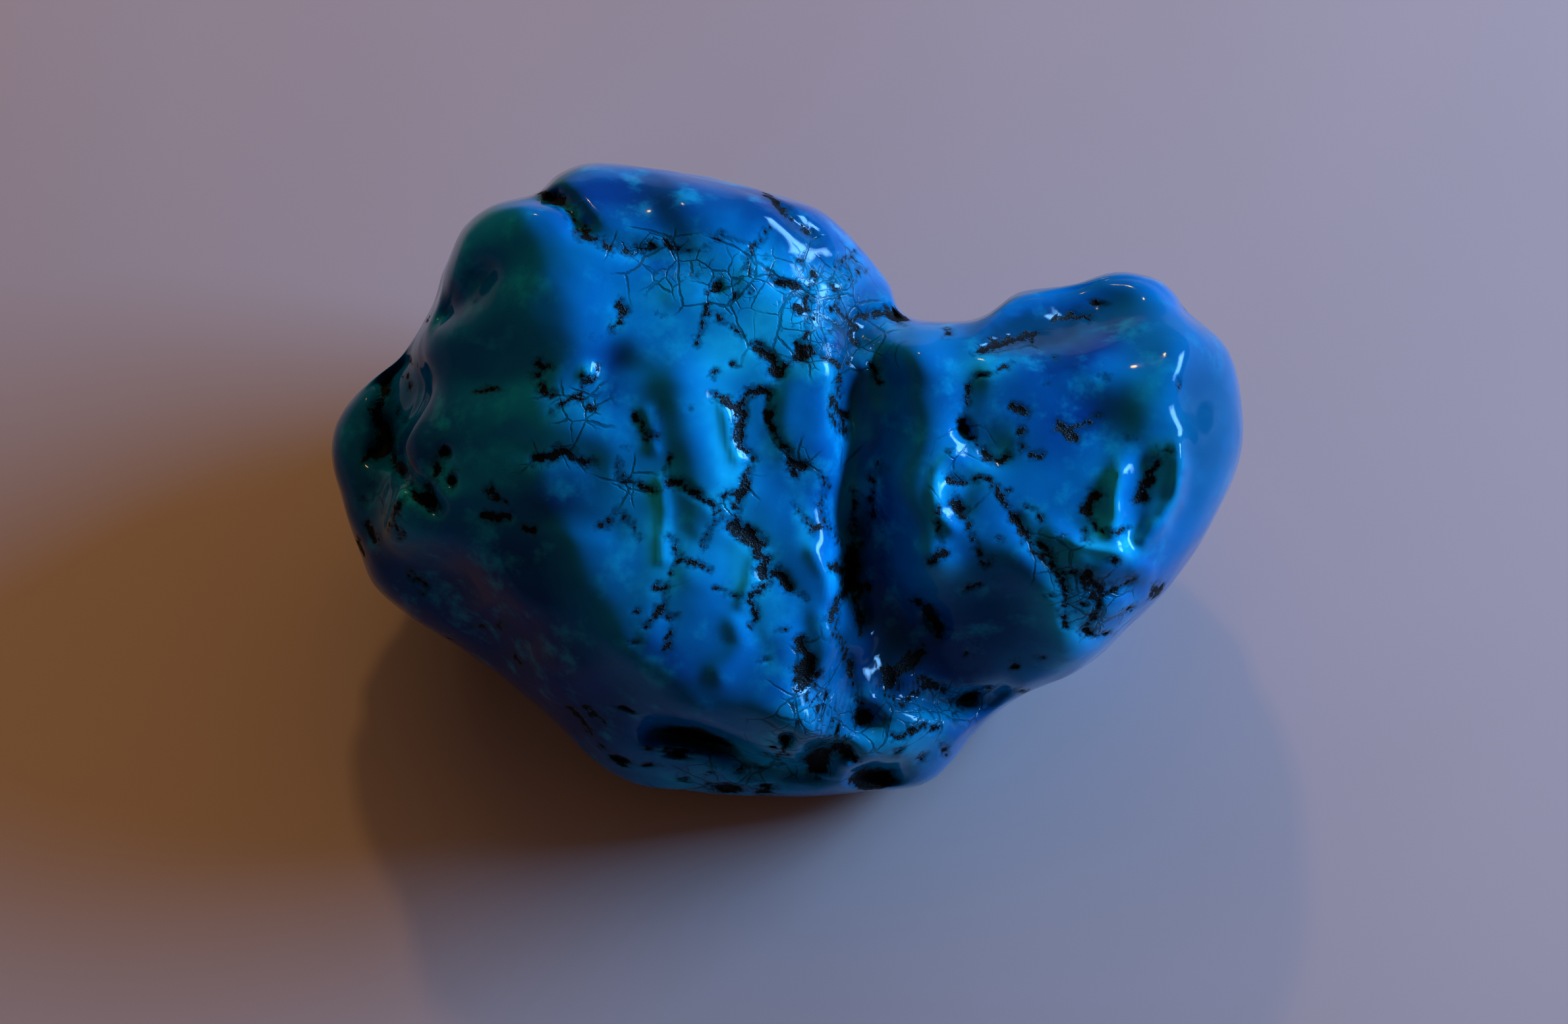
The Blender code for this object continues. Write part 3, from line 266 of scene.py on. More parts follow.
# Cracks filled with dark matrix: (half width, depth, points (u, v) along it)
CRACKS = [
    # middle: round the nodules and the tongue
    (0.20, 0.45, [(-4.4, 7.4), (-3.6, 7.1), (-2.9, 6.6), (-2.7, 6.3)]),
    (0.16, 0.40, [(-2.7, 6.7), (-2.5, 7.3), (-2.2, 7.9), (-1.7, 8.0), (-1.2, 8.1), (-0.85, 7.5)]),
    (0.16, 0.40, [(-2.6, 6.3), (-2.7, 5.1), (-2.6, 4.2), (-2.2, 3.7), (-2.0, 3.5)]),
    (0.27, 0.55, [(-1.9, 11.0), (-1.4, 10.6), (-0.95, 10.1), (-0.8, 9.6), (-0.7, 9.1)]),
    (0.30, 0.60, [(0.65, 11.2), (0.8, 10.4)]),
    (0.12, 0.30, [(0.8, 11.2), (1.35, 11.0), (1.8, 10.3)]),
    (0.09, 0.25, [(0.8, 10.4), (-0.2, 9.7), (-0.7, 9.1)]),
    (0.10, 0.30, [(1.2, 10.4), (2.2, 10.3), (3.1, 9.8), (3.6, 9.4)]),
    (0.14, 0.40, [(3.75, 9.6), (3.5, 8.6), (3.4, 7.6), (3.5, 6.9), (3.9, 6.5), (3.95, 5.5), (3.9, 5.2)]),
    (0.07, 0.20, [(3.1, 7.6), (3.1, 6.6), (3.4, 5.8)]),
    (0.13, 0.40, [(-0.9, 8.0), (-0.95, 6.6), (-0.8, 5.8), (-0.5, 5.0),
                  (-0.2, 4.4), (0.4, 3.9), (0.7, 3.3)]),
    (0.36, 0.60, [(0.8, 3.3), (1.3, 3.05)]),
    (0.20, 0.30, [(0.45, 2.7), (0.55, 2.4)]),
    (0.07, 0.18, [(1.5, 3.0), (2.2, 3.0), (2.5, 2.4), (2.6, 1.7)]),
    (0.14, 0.35, [(-2.2, 3.1), (-2.3, 2.4), (-2.7, 1.6), (-2.8, 0.7)]),
    (0.09, 0.20, [(-2.8, 1.1), (-3.4, 1.1), (-3.8, 0.9)]),
    (0.17, 0.40, [(-7.6, 2.15), (-6.7, 1.9), (-6.0, 1.5), (-5.3, 1.1)]),
    (0.09, 0.25, [(-5.3, 1.1), (-4.6, 0.75), (-4.1, 0.1), (-3.6, -0.5)]),
    (0.09, 0.25, [(-2.8, 0.7), (-2.9, -0.3), (-2.8, -0.8)]),
    (0.34, 0.60, [(-3.2, -0.8), (-2.6, -1.3), (-1.8, -2.2)]),
    (0.16, 0.40, [(-1.8, -2.5), (-1.4, -3.0), (-1.0, -3.05)]),
    (0.26, 0.55, [(-1.5, -3.6), (-1.2, -4.1), (-0.9, -4.1)]),
    (0.29, 0.55, [(-0.6, -3.8), (0.0, -4.15), (0.4, -4.7)]),
    (0.07, 0.18, [(-0.9, -4.3), (-1.2, -4.8), (-1.9, -5.3)]),
    (0.07, 0.18, [(0.4, -4.8), (1.0, -5.2), (1.6, -5.7)]),
    (0.13, 0.30, [(2.15, 1.0), (2.2, 0.3), (2.5, -0.5)]),
    (0.07, 0.18, [(0.5, 0.2), (1.0, -0.3), (1.4, -0.8), (1.8, -1.25)]),
    (0.07, 0.18, [(1.8, -1.25), (2.4, -0.9), (3.2, -1.2), (3.7, -2.2)]),
    (0.13, 0.30, [(5.6, 0.9), (5.65, 0.4), (5.85, -0.1)]),
    (0.06, 0.15, [(5.8, 0.9), (5.8, 2.4), (6.4, 3.0)]),
    (0.07, 0.18, [(5.9, 9.4), (6.3, 9.1), (6.5, 8.3)]),
    (0.15, 0.30, [(-9.4, 6.2), (-9.0, 5.6), (-8.8, 5.0), (-8.7, 4.6)]),
    (0.13, 0.25, [(-8.6, 4.7), (-8.1, 4.75)]),
    (0.12, 0.22, [(-7.5, 3.4), (-7.6, 2.7)]),
    (0.16, 0.25, [(-10.8, 3.0), (-10.7, 2.3)]),
    (0.11, 0.25, [(-10.7, 2.2), (-9.6, 2.1), (-8.9, 1.6), (-8.5, 1.6)]),
    (0.07, 0.15, [(-11.2, 0.3), (-10.4, -0.2), (-10.0, -0.8), (-9.7, -1.6)]),
    # plateau: thin
    (0.05, 0.16, [(-7.8, -1.2), (-7.1, -2.0), (-6.8, -3.1), (-6.0, -3.3), (-5.4, -3.4), (-4.9, -4.0)]),
    (0.05, 0.16, [(-6.8, -3.1), (-7.5, -3.9), (-7.8, -5.0), (-8.0, -5.8), (-8.4, -6.6), (-9.0, -7.4)]),
    (0.10, 0.16, [(-6.1, -3.3), (-5.5, -3.35)]),
    (0.14, 0.22, [(-8.5, -4.9), (-7.8, -5.0)]),
    (0.05, 0.14, [(-4.2, -0.5), (-4.9, -1.2), (-5.2, -2.4)]),
    (0.09, 0.20, [(-7.8, -6.8), (-7.2, -7.1)]),
    (0.08, 0.18, [(-7.3, -8.0), (-7.4, -9.3)]),
    (0.05, 0.14, [(-4.4, -5.1), (-3.2, -5.6), (-2.2, -5.5)]),
    (0.05, 0.14, [(-2.0, -5.6), (-1.6, -6.6), (-1.9, -7.6)]),
    # cleft
    (0.40, 0.70, [(4.4, -2.6), (4.5, -3.6), (4.3, -4.5), (4.5, -5.2)]),
    (0.26, 0.50, [(3.3, -3.6), (3.8, -3.9)]),
    (0.20, 0.40, [(4.7, -5.1), (5.6, -5.1)]),
    (0.15, 0.45, [(4.2, -5.4), (3.6, -6.0), (3.1, -7.0), (3.3, -7.9),
                  (3.7, -8.7), (3.9, -9.6), (4.2, -10.4)]),
    (0.12, 0.35, [(4.2, -10.4), (4.7, -11.4), (4.8, -12.5)]),
    (0.10, 0.25, [(4.8, -5.6), (5.0, -6.8), (4.9, -8.0)]),
    (0.22, 0.50, [(1.2, -8.4), (1.5, -9.0), (1.8, -9.6)]),
    (0.25, 0.50, [(1.1, -10.2), (1.4, -10.8), (1.8, -11.2)]),
    (0.19, 0.40, [(2.5, -11.8), (3.2, -12.3)]),
    (0.06, 0.18, [(4.6, 1.6), (4.5, 0.2), (4.7, -1.2), (4.4, -2.4)]),
    # top: creases of the crown and its nodules
    (0.30, 0.60, [(6.1, 12.95), (7.0, 13.1), (7.9, 12.7)]),
    (0.10, 0.25, [(4.5, 12.3), (5.2, 12.9), (5.9, 12.8)]),
    (0.14, 0.35, [(4.4, 12.4), (4.8, 11.9), (4.7, 11.3), (4.9, 10.8)]),
    (0.10, 0.30, [(4.7, 17.1), (4.5, 16.5), (3.95, 16.0)]),
    (0.12, 0.35, [(-1.1, 20.5), (-0.6, 19.8), (0.2, 19.1), (1.0, 18.4), (1.7, 18.1)]),
    (0.07, 0.15, [(-12.8, 18.2), (-11.0, 17.2), (-9.2, 17.0)]),
    (0.22, 0.40, [(-13.2, 18.7), (-12.8, 18.2)]),
    (0.30, 0.50, [(-15.6, 20.9), (-14.3, 20.2)]),
    (0.08, 0.20, [(-14.3, 20.2), (-13.6, 19.4), (-13.2, 18.7)]),
    (0.10, 0.22, [(-1.1, 15.7), (-0.7, 15.1), (-0.14, 14.8)]),
    (0.07, 0.18, [(-0.14, 14.8), (0.7, 14.55), (1.3, 14.4), (2.0, 14.9), (2.2, 15.4)]),
    (0.08, 0.20, [(-1.06, 18.2), (-1.7, 17.5), (-2.5, 16.6), (-2.4, 15.6)]),
    (0.10, 0.20, [(-7.76, 17.8), (-7.3, 17.3), (-6.9, 17.3), (-6.35, 17.5)]),
    (0.06, 0.16, [(-6.35, 17.5), (-5.2, 17.5), (-4.1, 18.3)]),
    (0.08, 0.18, [(-8.6, 17.4), (-9.3, 17.2), (-9.87, 16.8)]),
    (0.22, 0.40, [(-10.7, 13.4), (-10.35, 12.9)]),
    (0.10, 0.22, [(-10.6, 12.2), (-10.9, 11.9), (-11.3, 11.6)]),
    (0.05, 0.12, [(-5.3, 13.9), (-5.3, 12.2), (-5.4, 10.9)]),
    (0.05, 0.12, [(-5.2, 13.3), (-4.2, 12.9), (-3.2, 12.0), (-2.8, 11.6)]),
    (0.06, 0.15, [(1.6, 14.2), (1.7, 13.0), (1.4, 12.1), (1.3, 11.3)]),
    (0.06, 0.15, [(3.3, 15.0), (3.8, 14.0), (3.9, 12.9), (4.4, 12.4)]),
    (0.06, 0.15, [(5.2, 15.7), (4.4, 15.2), (3.9, 14.2)]),
    # toe and the boss above it
    (0.22, 0.50, [(-26.1, 8.7), (-26.2, 8.0), (-26.8, 7.0)]),
    (0.36, 0.60, [(-27.2, 6.6), (-26.9, 6.0), (-26.7, 5.2), (-26.8, 4.5), (-27.4, 3.9)]),
    (0.14, 0.30, [(-27.4, 3.9), (-28.0, 3.2)]),
    (0.22, 0.50, [(-26.0, 3.7), (-25.7, 3.1), (-25.2, 2.6)]),
    (0.28, 0.50, [(-24.4, 0.9), (-23.9, 0.7), (-23.2, 0.5)]),
    (0.22, 0.45, [(-23.5, 1.9), (-23.3, 1.2), (-23.2, 0.6)]),
    (0.09, 0.25, [(-24.4, 0.9), (-25.3, 0.3), (-25.5, -0.5)]),
    (0.18, 0.40, [(-22.9, 3.3), (-22.7, 2.8), (-22.9, 2.4)]),
    (0.20, 0.40, [(-27.5, -0.9), (-27.0, -1.7)]),
    (0.08, 0.20, [(-25.9, -1.0), (-25.2, -1.7)]),
    (0.10, 0.20, [(-28.3, -1.9), (-27.9, -2.8)]),
    (0.09, 0.15, [(-24.6, -3.9), (-23.6, -4.5)]),
    (0.07, 0.12, [(-20.4, -7.7), (-19.5, -7.5)]),
    (0.07, 0.12, [(-18.7, -7.3), (-18.4, -7.7)]),
    (0.07, 0.12, [(-17.4, -9.6), (-17.0, -9.9)]),
    (0.10, 0.20, [(-23.4, 15.1), (-22.9, 14.2)]),
    (0.09, 0.20, [(-23.7, 13.2), (-23.4, 12.5)]),
    (0.08, 0.18, [(-24.8, 11.0), (-24.3, 11.9)]),
    (0.08, 0.18, [(-24.6, 9.9), (-24.3, 9.4)]),
    (0.09, 0.18, [(-24.7, 8.7), (-24.6, 8.1)]),
    (0.06, 0.14, [(-25.5, 6.9), (-25.3, 6.3)]),
    (0.16, 0.25, [(-16.4, 10.0), (-16.1, 9.4), (-15.8, 9.6)]),
    (0.10, 0.20, [(-16.1, 9.3), (-16.6, 9.2)]),
    (0.14, 0.25, [(-16.1, 8.4), (-15.8, 8.0), (-15.2, 7.7)]),
    (0.07, 0.15, [(-13.4, 9.1), (-12.9, 8.5), (-12.3, 8.8), (-12.2, 9.4)]),
    (0.05, 0.12, [(-12.9, 8.5), (-13.4, 7.6), (-14.4, 7.2), (-15.2, 6.6)]),
    (0.05, 0.12, [(-13.4, 7.6), (-12.8, 6.8), (-11.9, 6.6)]),
    (0.20, 0.30, [(-16.2, 3.6), (-15.4, 3.8), (-14.6, 4.2), (-13.9, 3.9)]),
    (0.08, 0.15, [(-13.9, 3.9), (-12.9, 3.4), (-12.3, 3.3)]),
    (0.18, 0.25, [(-19.7, 0.1), (-19.0, -0.2), (-18.3, -0.1)]),
    (0.08, 0.15, [(-19.6, 1.9), (-19.2, 1.2), (-18.8, 0.9)]),
    (0.10, 0.15, [(-17.3, -0.9), (-16.8, -1.1)]),
    (0.08, 0.15, [(-12.6, -0.3), (-11.8, -0.4)]),
    (0.09, 0.15, [(-19.8, 8.0), (-19.1, 8.05)]),
    # lower edge
    (0.11, 0.20, [(-14.0, -13.0), (-13.2, -13.9), (-12.5, -14.8)]),
    (0.06, 0.12, [(-13.0, -12.8), (-11.8, -13.9)]),
    (0.08, 0.20, [(0.2, -14.6), (0.1, -15.4), (-0.4, -16.4)]),
    (0.10, 0.25, [(7.0, -14.9), (8.2, -14.7), (9.0, -14.2)]),
    (0.10, 0.25, [(6.6, -12.0), (7.6, -12.9), (8.0, -12.4), (9.0, -11.6)]),
    # right lobe
    (0.24, 0.50, [(12.5, 10.6), (14.0, 10.8), (15.2, 11.2), (16.4, 11.5)]),
    (0.10, 0.25, [(17.6, 12.6), (19.0, 13.1), (20.2, 12.9)]),
    (0.08, 0.25, [(12.0, 8.2), (11.8, 7.2), (11.4, 6.4)]),
    (0.30, 0.55, [(11.4, 5.9), (11.8, 5.2)]),
    (0.09, 0.25, [(12.0, 5.1), (12.4, 4.7), (12.9, 4.0)]),
    (0.26, 0.50, [(13.1, 4.0), (13.8, 3.5)]),
    (0.12, 0.25, [(13.8, 3.5), (14.4, 3.5), (14.8, 3.8)]),
    (0.06, 0.15, [(15.8, 5.8), (15.85, 5.0), (15.75, 4.3)]),
    (0.18, 0.35, [(15.2, 7.0), (16.1, 6.6)]),
    (0.10, 0.20, [(16.4, 3.9), (17.0, 3.9)]),
    (0.24, 0.40, [(18.2, 5.7), (18.7, 5.2), (19.1, 4.7)]),
    (0.14, 0.30, [(19.3, 5.5), (20.2, 5.85)]),
    (0.12, 0.25, [(24.5, 3.3), (24.0, 2.5)]),
    (0.22, 0.40, [(23.9, 2.2), (23.6, 1.4), (23.5, 0.8)]),
    (0.16, 0.30, [(10.8, 2.1), (11.8, 1.8)]),
    (0.07, 0.20, [(11.8, 1.8), (12.6, 2.2), (13.4, 2.2)]),
    (0.16, 0.30, [(11.3, 0.5), (11.7, -0.3)]),
    (0.24, 0.40, [(14.9, -0.5), (15.3, -1.0), (15.8, -1.7)]),
    (0.07, 0.18, [(15.8, 0.1), (16.2, 0.1), (16.7, -0.4)]),
    (0.17, 0.35, [(16.8, -2.0), (17.4, -2.7)]),
    (0.10, 0.30, [(15.8, -1.7), (16.6, -2.8), (17.6, -3.7), (18.0, -4.2)]),
    (0.13, 0.30, [(17.8, -3.6), (19.0, -3.8)]),
    (0.22, 0.40, [(18.1, -4.3), (18.4, -5.0)]),
    (0.16, 0.35, [(19.9, -3.9), (20.3, -4.4)]),
    (0.08, 0.20, [(19.0, -3.8), (19.9, -4.6), (20.8, -5.3)]),
    (0.09, 0.20, [(20.3, -4.4), (21.0, -4.9), (22.0, -4.6), (22.7, -4.3)]),
    (0.07, 0.18, [(18.4, -5.0), (18.6, -6.0), (18.6, -6.6)]),
    (0.20, 0.35, [(18.4, -6.6), (18.8, -7.2)]),
    (0.07, 0.18, [(20.8, -5.3), (20.4, -6.4), (20.0, -7.3)]),
    (0.22, 0.35, [(20.6, 1.4), (20.1, 0.5)]),
    (0.16, 0.30, [(20.1, -1.0), (19.9, -1.6)]),
    (0.08, 0.20, [(20.5, -0.3), (21.3, -1.0), (22.6, -0.9)]),
    (0.10, 0.25, [(13.1, -3.4), (13.7, -3.4)]),
    (0.14, 0.30, [(9.7, -3.4), (10.6, -2.9)]),
    (0.14, 0.25, [(11.8, -5.3), (12.7, -4.9)]),
    (0.34, 0.55, [(9.4, -6.9), (9.9, -7.3), (10.2, -7.9)]),
    (0.10, 0.20, [(8.6, -6.2), (9.2, -6.5)]),
    (0.16, 0.30, [(24.2, -5.2), (25.0, -4.9)]),
    (0.05, 0.12, [(10.2, 0.2), (10.4, -1.4), (10.2, -2.8)]),
    (0.05, 0.12, [(13.4, 2.2), (14.2, 0.8), (14.8, -0.3)]),
    (0.05, 0.12, [(11.8, -0.4), (12.4, -1.8), (13.0, -3.2)]),
]
# Dark pits: (u, v, half length, half width, turn in degrees, depth)
PITS = [
    # crown and boss
    (2.2, 15.4, 0.20, 0.16, 0, 0.2), (-0.1, 14.8, 0.50, 0.22, 10, 0.3), (-1.7, 17.5, 0.18, 0.14, 0, 0.2),
    (-4.1, 18.3, 0.16, 0.12, 0, 0.15), (-5.2, 17.5, 0.18, 0.12, 0, 0.15),
    (-4.8, 15.0, 0.42, 0.30, 40, 0.3), (-9.9, 16.8, 0.18, 0.14, 0, 0.15),
    (-8.6, 17.4, 0.20, 0.16, 0, 0.2), (-3.4, 14.3, 0.22, 0.12, 30, 0.15),
    (-6.3, 15.9, 0.22, 0.14, 0, 0.2), (-2.2, 14.6, 0.16, 0.12, 0, 0.15), (3.2, 13.2, 0.18, 0.12, 50, 0.2),
    (-7.8, 12.9, 0.10, 0.08, 0, 0.08), (-12.6, 11.4, 0.10, 0.08, 0, 0.08),
    # left slope and toe
    (-9.7, -6.5, 0.20, 0.15, 0, 0.15), (-9.8, -8.8, 0.22, 0.12, 0, 0.15),
    (-22.3, 3.9, 0.36, 0.30, 0, 0.4), (-21.8, 2.2, 0.44, 0.26, 80, 0.4),
    (-22.1, -8.4, 0.36, 0.26, -30, 0.3), (-23.8, -5.2, 0.16, 0.12, 0, 0.12),
    (-27.7, 0.8, 0.30, 0.14, -20, 0.15), (-19.2, 8.0, 0.26, 0.12, 0, 0.15),
    (-10.0, 4.2, 0.12, 0.10, 0, 0.1),
    # plateau
    (1.5, -10.5, 0.42, 1.10, -15, 0.4), (-3.2, 9.6, 0.20, 0.12, 0, 0.2), (-4.3, 9.0, 0.20, 0.15, 90, 0.2),
    (2.1, -10.5, 0.22, 0.18, 0, 0.3), (-9.0, -7.5, 0.20, 0.15, 30, 0.15),
    (-1.5, -4.8, 0.16, 0.12, 0, 0.15), (-0.9, -9.8, 0.24, 0.18, 0, 0.2), (0.1, -7.6, 0.14, 0.10, 0, 0.12),
    (-5.9, 6.6, 0.12, 0.10, 0, 0.1),
    # cleft
    (7.0, -10.6, 0.5, 0.9, 10, 0.3), (3.8, 6.5, 0.40, 0.22, -50, 0.5), (4.8, -2.1, 0.28, 0.22, 0, 0.4),
    (4.1, 9.9, 0.22, 0.16, 0, 0.25),
    # right lobe
    (8.2, -9.6, 1.2, 0.5, 40, 0.3), (12.8, 8.95, 0.42, 0.14, 15, 0.25), (14.3, 9.45, 0.45, 0.14, 20, 0.2),
    (20.7, 13.6, 0.30, 0.14, 0, 0.2), (18.0, 10.3, 0.14, 0.12, 0, 0.1), (21.3, 9.2, 0.20, 0.14, 0, 0.1),
    (10.6, 11.8, 0.14, 0.12, 0, 0.1), (26.0, 8.8, 0.30, 0.08, 80, 0.15), (25.0, 3.9, 0.30, 0.20, 0, 0.15),
    (21.2, -8.0, 0.26, 0.14, 10, 0.25), (20.1, -7.6, 0.40, 0.24, -30, 0.4),
    (15.2, -10.1, 0.16, 0.10, 0, 0.12), (12.1, -9.3, 0.20, 0.12, 0, 0.15),
    (16.9, -9.4, 0.18, 0.10, 0, 0.15), (14.0, -1.8, 0.12, 0.09, 0, 0.1), (10.4, 4.0, 0.10, 0.08, 0, 0.1),
    (17.2, 8.4, 0.12, 0.09, 0, 0.1), (22.6, 4.9, 0.14, 0.10, 0, 0.1), (20.5, 6.3, 0.20, 0.16, 0, 0.15),
    (14.6, 1.3, 0.12, 0.10, 0, 0.1), (22.6, -6.4, 0.22, 0.14, 0, 0.25),
    (19.6, -5.6, 0.20, 0.13, 40, 0.25), (21.5, -3.0, 0.14, 0.10, 0, 0.15),
    (17.6, -5.4, 0.16, 0.10, 0, 0.2),
    # lower edge: the larger pits lie in the caverns, dark with matrix and painted shade
    (-5.8, -14.9, 2.2, 0.70, -16, 0.4), (2.3, -16.5, 0.7, 1.1, -20, 0.5),
    (3.9, -15.9, 1.0, 0.30, -20, 0.3), (5.8, -17.5, 1.4, 0.55, 4, 0.5), (5.2, -13.7, 0.7, 0.6, -15, 0.4),
    (9.6, -11.2, 1.0, 0.4, -30, 0.3), (2.7, -13.4, 0.36, 0.30, 0, 0.4),
    (1.7, -12.1, 0.26, 0.12, -40, 0.2), (-7.2, -16.2, 0.80, 0.24, -4, 0.5),
    (-10.7, -16.5, 0.62, 0.26, -22, 0.5), (-8.7, -17.0, 0.42, 0.14, 0, 0.2),
    (-3.7, -18.2, 1.05, 0.26, -4, 0.5), (-1.3, -18.4, 0.60, 0.20, 0, 0.4),
    (-6.6, -17.7, 0.26, 0.14, 0, 0.2), (0.0, -18.9, 0.24, 0.12, 0, 0.2),
    (-10.4, -12.9, 0.60, 0.13, -12, 0.2), (9.5, -14.4, 0.36, 0.18, 20, 0.3),
    (8.2, -14.6, 0.20, 0.16, 0, 0.25), (12.1, -12.2, 0.80, 0.36, 24, 0.5),
    (8.1, -12.4, 0.26, 0.18, -30, 0.3), (0.4, -14.6, 0.32, 0.26, 0, 0.4),
    (-0.6, -15.2, 0.16, 0.12, 0, 0.2), (0.3, -15.9, 0.18, 0.12, 40, 0.2),
    (-1.2, -16.2, 0.14, 0.10, 0, 0.15), (-0.2, -17.0, 0.20, 0.12, 0, 0.2),
    (1.1, -13.6, 0.16, 0.12, 0, 0.2), (-1.8, -17.2, 0.18, 0.10, 0, 0.15),
    (-2.8, -17.3, 0.16, 0.10, 20, 0.15), (-5.0, -17.2, 0.18, 0.10, 0, 0.15),
    (3.6, -13.9, 0.20, 0.14, 0, 0.25), (6.9, -13.8, 0.18, 0.12, 0, 0.2),
    (7.6, -15.8, 0.22, 0.12, 30, 0.2), (3.4, -14.6, 0.22, 0.12, 0, 0.2), (6.4, -11.4, 0.18, 0.12, 0, 0.2),
    (0.9, -12.5, 0.14, 0.10, 0, 0.15), (-8.8, -15.9, 0.18, 0.10, 0, 0.15),
    (-11.9, -15.6, 0.20, 0.12, -40, 0.15), (10.4, -15.6, 0.22, 0.14, 0, 0.2),
    (9.0, -16.2, 0.20, 0.12, 0, 0.2), (10.9, -13.4, 0.18, 0.12, 0, 0.2),
    (13.6, -11.5, 0.20, 0.12, 0, 0.2), (15.8, -11.5, 0.24, 0.14, 0, 0.2),
]

# Lumps and dents of the sides that the show face hides: middle (u, v, w), radius, height
BACK_SWELLS = [
    ((-14.0, 20.0, -9.0), 6.0, 1.4),
    ((-4.0, 22.0, -4.0), 3.6, -0.9),
    ((2.0, 19.0, -12.0), 6.5, 1.2),
    ((8.0, 12.0, -9.0), 5.0, -1.2),
    ((17.0, 14.0, -11.0), 5.0, 1.3),
    ((24.0, 12.0, -9.0), 4.0, -0.9),
    ((28.0, 4.0, -9.0), 5.0, 1.1),
    ((24.0, -5.0, -10.0), 4.5, -1.0),
    ((15.0, -11.0, -13.0), 5.0, 1.1),
    ((6.0, -17.0, -13.0), 4.0, -0.9),
    ((-4.0, -18.0, -12.0), 5.0, 1.2),
    ((-14.0, -13.0, -11.0), 4.5, -0.8),
    ((-22.0, -8.0, -10.0), 5.0, 1.2),
    ((-28.0, 2.0, -12.0), 4.5, -0.9),
    ((-24.0, 12.0, -12.0), 5.5, 1.3),
    ((-19.0, 17.0, -3.0), 3.0, -0.7),
]
# Finer waviness of the hidden sides: wave length, height, the way each wave runs, and its shift
BACK_WAVES = [
    (10.5, 0.24, (0.3, -0.5, 0.8), 4.0),
    (8.5, 0.20, (0.7, 0.4, -0.6), 2.1),
    (6.8, 0.16, (-0.6, 0.3, 0.7), 1.2),
    (5.2, 0.12, (-0.2, 0.7, 0.7), 5.3),
    (4.2, 0.08, (0.7, -0.5, 0.5), 3.3),
]

# Colour zones of the show face: (u, v, half length, half width, turn in degrees, strength)
# Pale ovals: pale turquoise, and painted highlights along the lit rims and on slopes that face the light
PALE_AND_HIGHLIGHT_ZONES = [
    # crown and boss
    (-0.4, 12.7, 2.0, 0.9, -10, 0.9), (-10.9, 12.0, 0.6, 0.5, 0, 0.8), (-1.7, 16.6, 2.6, 1.2, 0, 0.2),
    (2.6, 14.6, 2.4, 1.2, 0, 0.3), (-2.8, 11.6, 3.0, 2.0, 0, 0.5), (-6.6, 14.3, 2.2, 1.2, 0, 0.5),
    # left slope and toe
    (-12.9, 9.1, 0.7, 0.6, 0, 1.0), (-23.9, 1.4, 1.8, 0.9, 20, 0.4), (-21.9, 3.0, 0.7, 1.2, 0, 0.6),
    (-25.0, -1.2, 2.2, 1.2, -30, 0.4), (-15.6, 5.9, 2.2, 1.2, 0, 0.4),
    # plateau
    (-2.2, -3.2, 1.2, 1.4, 0, 0.6), (-3.8, 3.4, 1.0, 2.2, 8, 0.5), (-2.0, -4.4, 1.4, 2.6, 10, 0.4),
    (-8.6, -0.4, 0.7, 2.8, 0, 0.4), (-3.4, 5.2, 0.4, 1.8, 8, 0.9), (-4.6, -1.0, 4.6, 3.0, 60, 0.45),
    (-2.0, -4.6, 1.6, 3.4, 10, 0.40), (-8.0, -3.0, 1.4, 3.4, 10, 0.35), (-3.4, 10.2, 2.2, 1.5, 40, 1.0),
    (-4.0, 6.6, 1.6, 1.4, 0, 0.8), (-3.6, 4.2, 0.9, 2.4, 10, 0.7), (-4.2, 0.7, 0.9, 0.6, -30, 0.9),
    (-8.4, -0.6, 0.7, 2.6, 0, 0.6), (1.4, -1.4, 0.6, 1.6, 15, 0.7), (-2.1, -3.8, 0.6, 1.6, 15, 0.7),
    (3.2, -4.4, 0.5, 1.2, 10, 0.8), (1.8, 9.4, 1.8, 0.6, -12, 0.6), (3.1, 7.0, 0.4, 2.0, 5, 0.7),
    # right lobe
    (12.8, 9.5, 2.2, 1.1, 5, 0.9), (22.0, 2.0, 0.6, 1.2, 0, 0.4), (18.8, -7.4, 2.2, 1.4, -40, 1.0),
    (24.0, 8.0, 1.2, 1.4, 0, 0.6), (18.0, -5.4, 1.4, 1.4, 0, 0.6), (28.2, 4.5, 3.2, 7.0, 0, 0.5),
    (25.7, 1.8, 0.4, 2.6, -8, 0.9), (21.9, 0.8, 0.35, 1.8, 0, 0.9), (20.6, -2.4, 1.6, 0.4, -8, 0.9),
    (10.1, 1.4, 0.4, 2.2, 0, 0.7), (24.6, 1.0, 0.7, 2.4, -8, 0.6), (20.9, -1.2, 0.9, 1.2, 0, 0.7),
    (19.8, -2.6, 2.0, 0.8, 5, 0.8), (22.6, -1.6, 0.7, 1.6, 0, 0.6), (10.4, 1.6, 0.5, 1.6, 0, 0.5),
    (12.6, 4.4, 1.0, 0.6, 0, 0.4), (18.4, 11.9, 3.6, 0.8, 18, 0.4), (10.6, -4.0, 1.6, 0.8, 0, 0.4),
    # lower edge
    (0.0, -15.6, 1.6, 1.6, 0, 0.8), (8.0, -15.8, 2.2, 1.0, 15, 0.8), (5.2, -15.2, 2.6, 0.8, 0, 0.6),
    (-3.2, -15.6, 2.2, 0.9, -25, 0.6), (9.4, -13.6, 2.6, 0.9, 25, 0.5), (-7.0, -18.2, 3.0, 0.7, -5, 0.4),
    (2.2, -12.8, 1.6, 0.8, 0, 0.5),
]
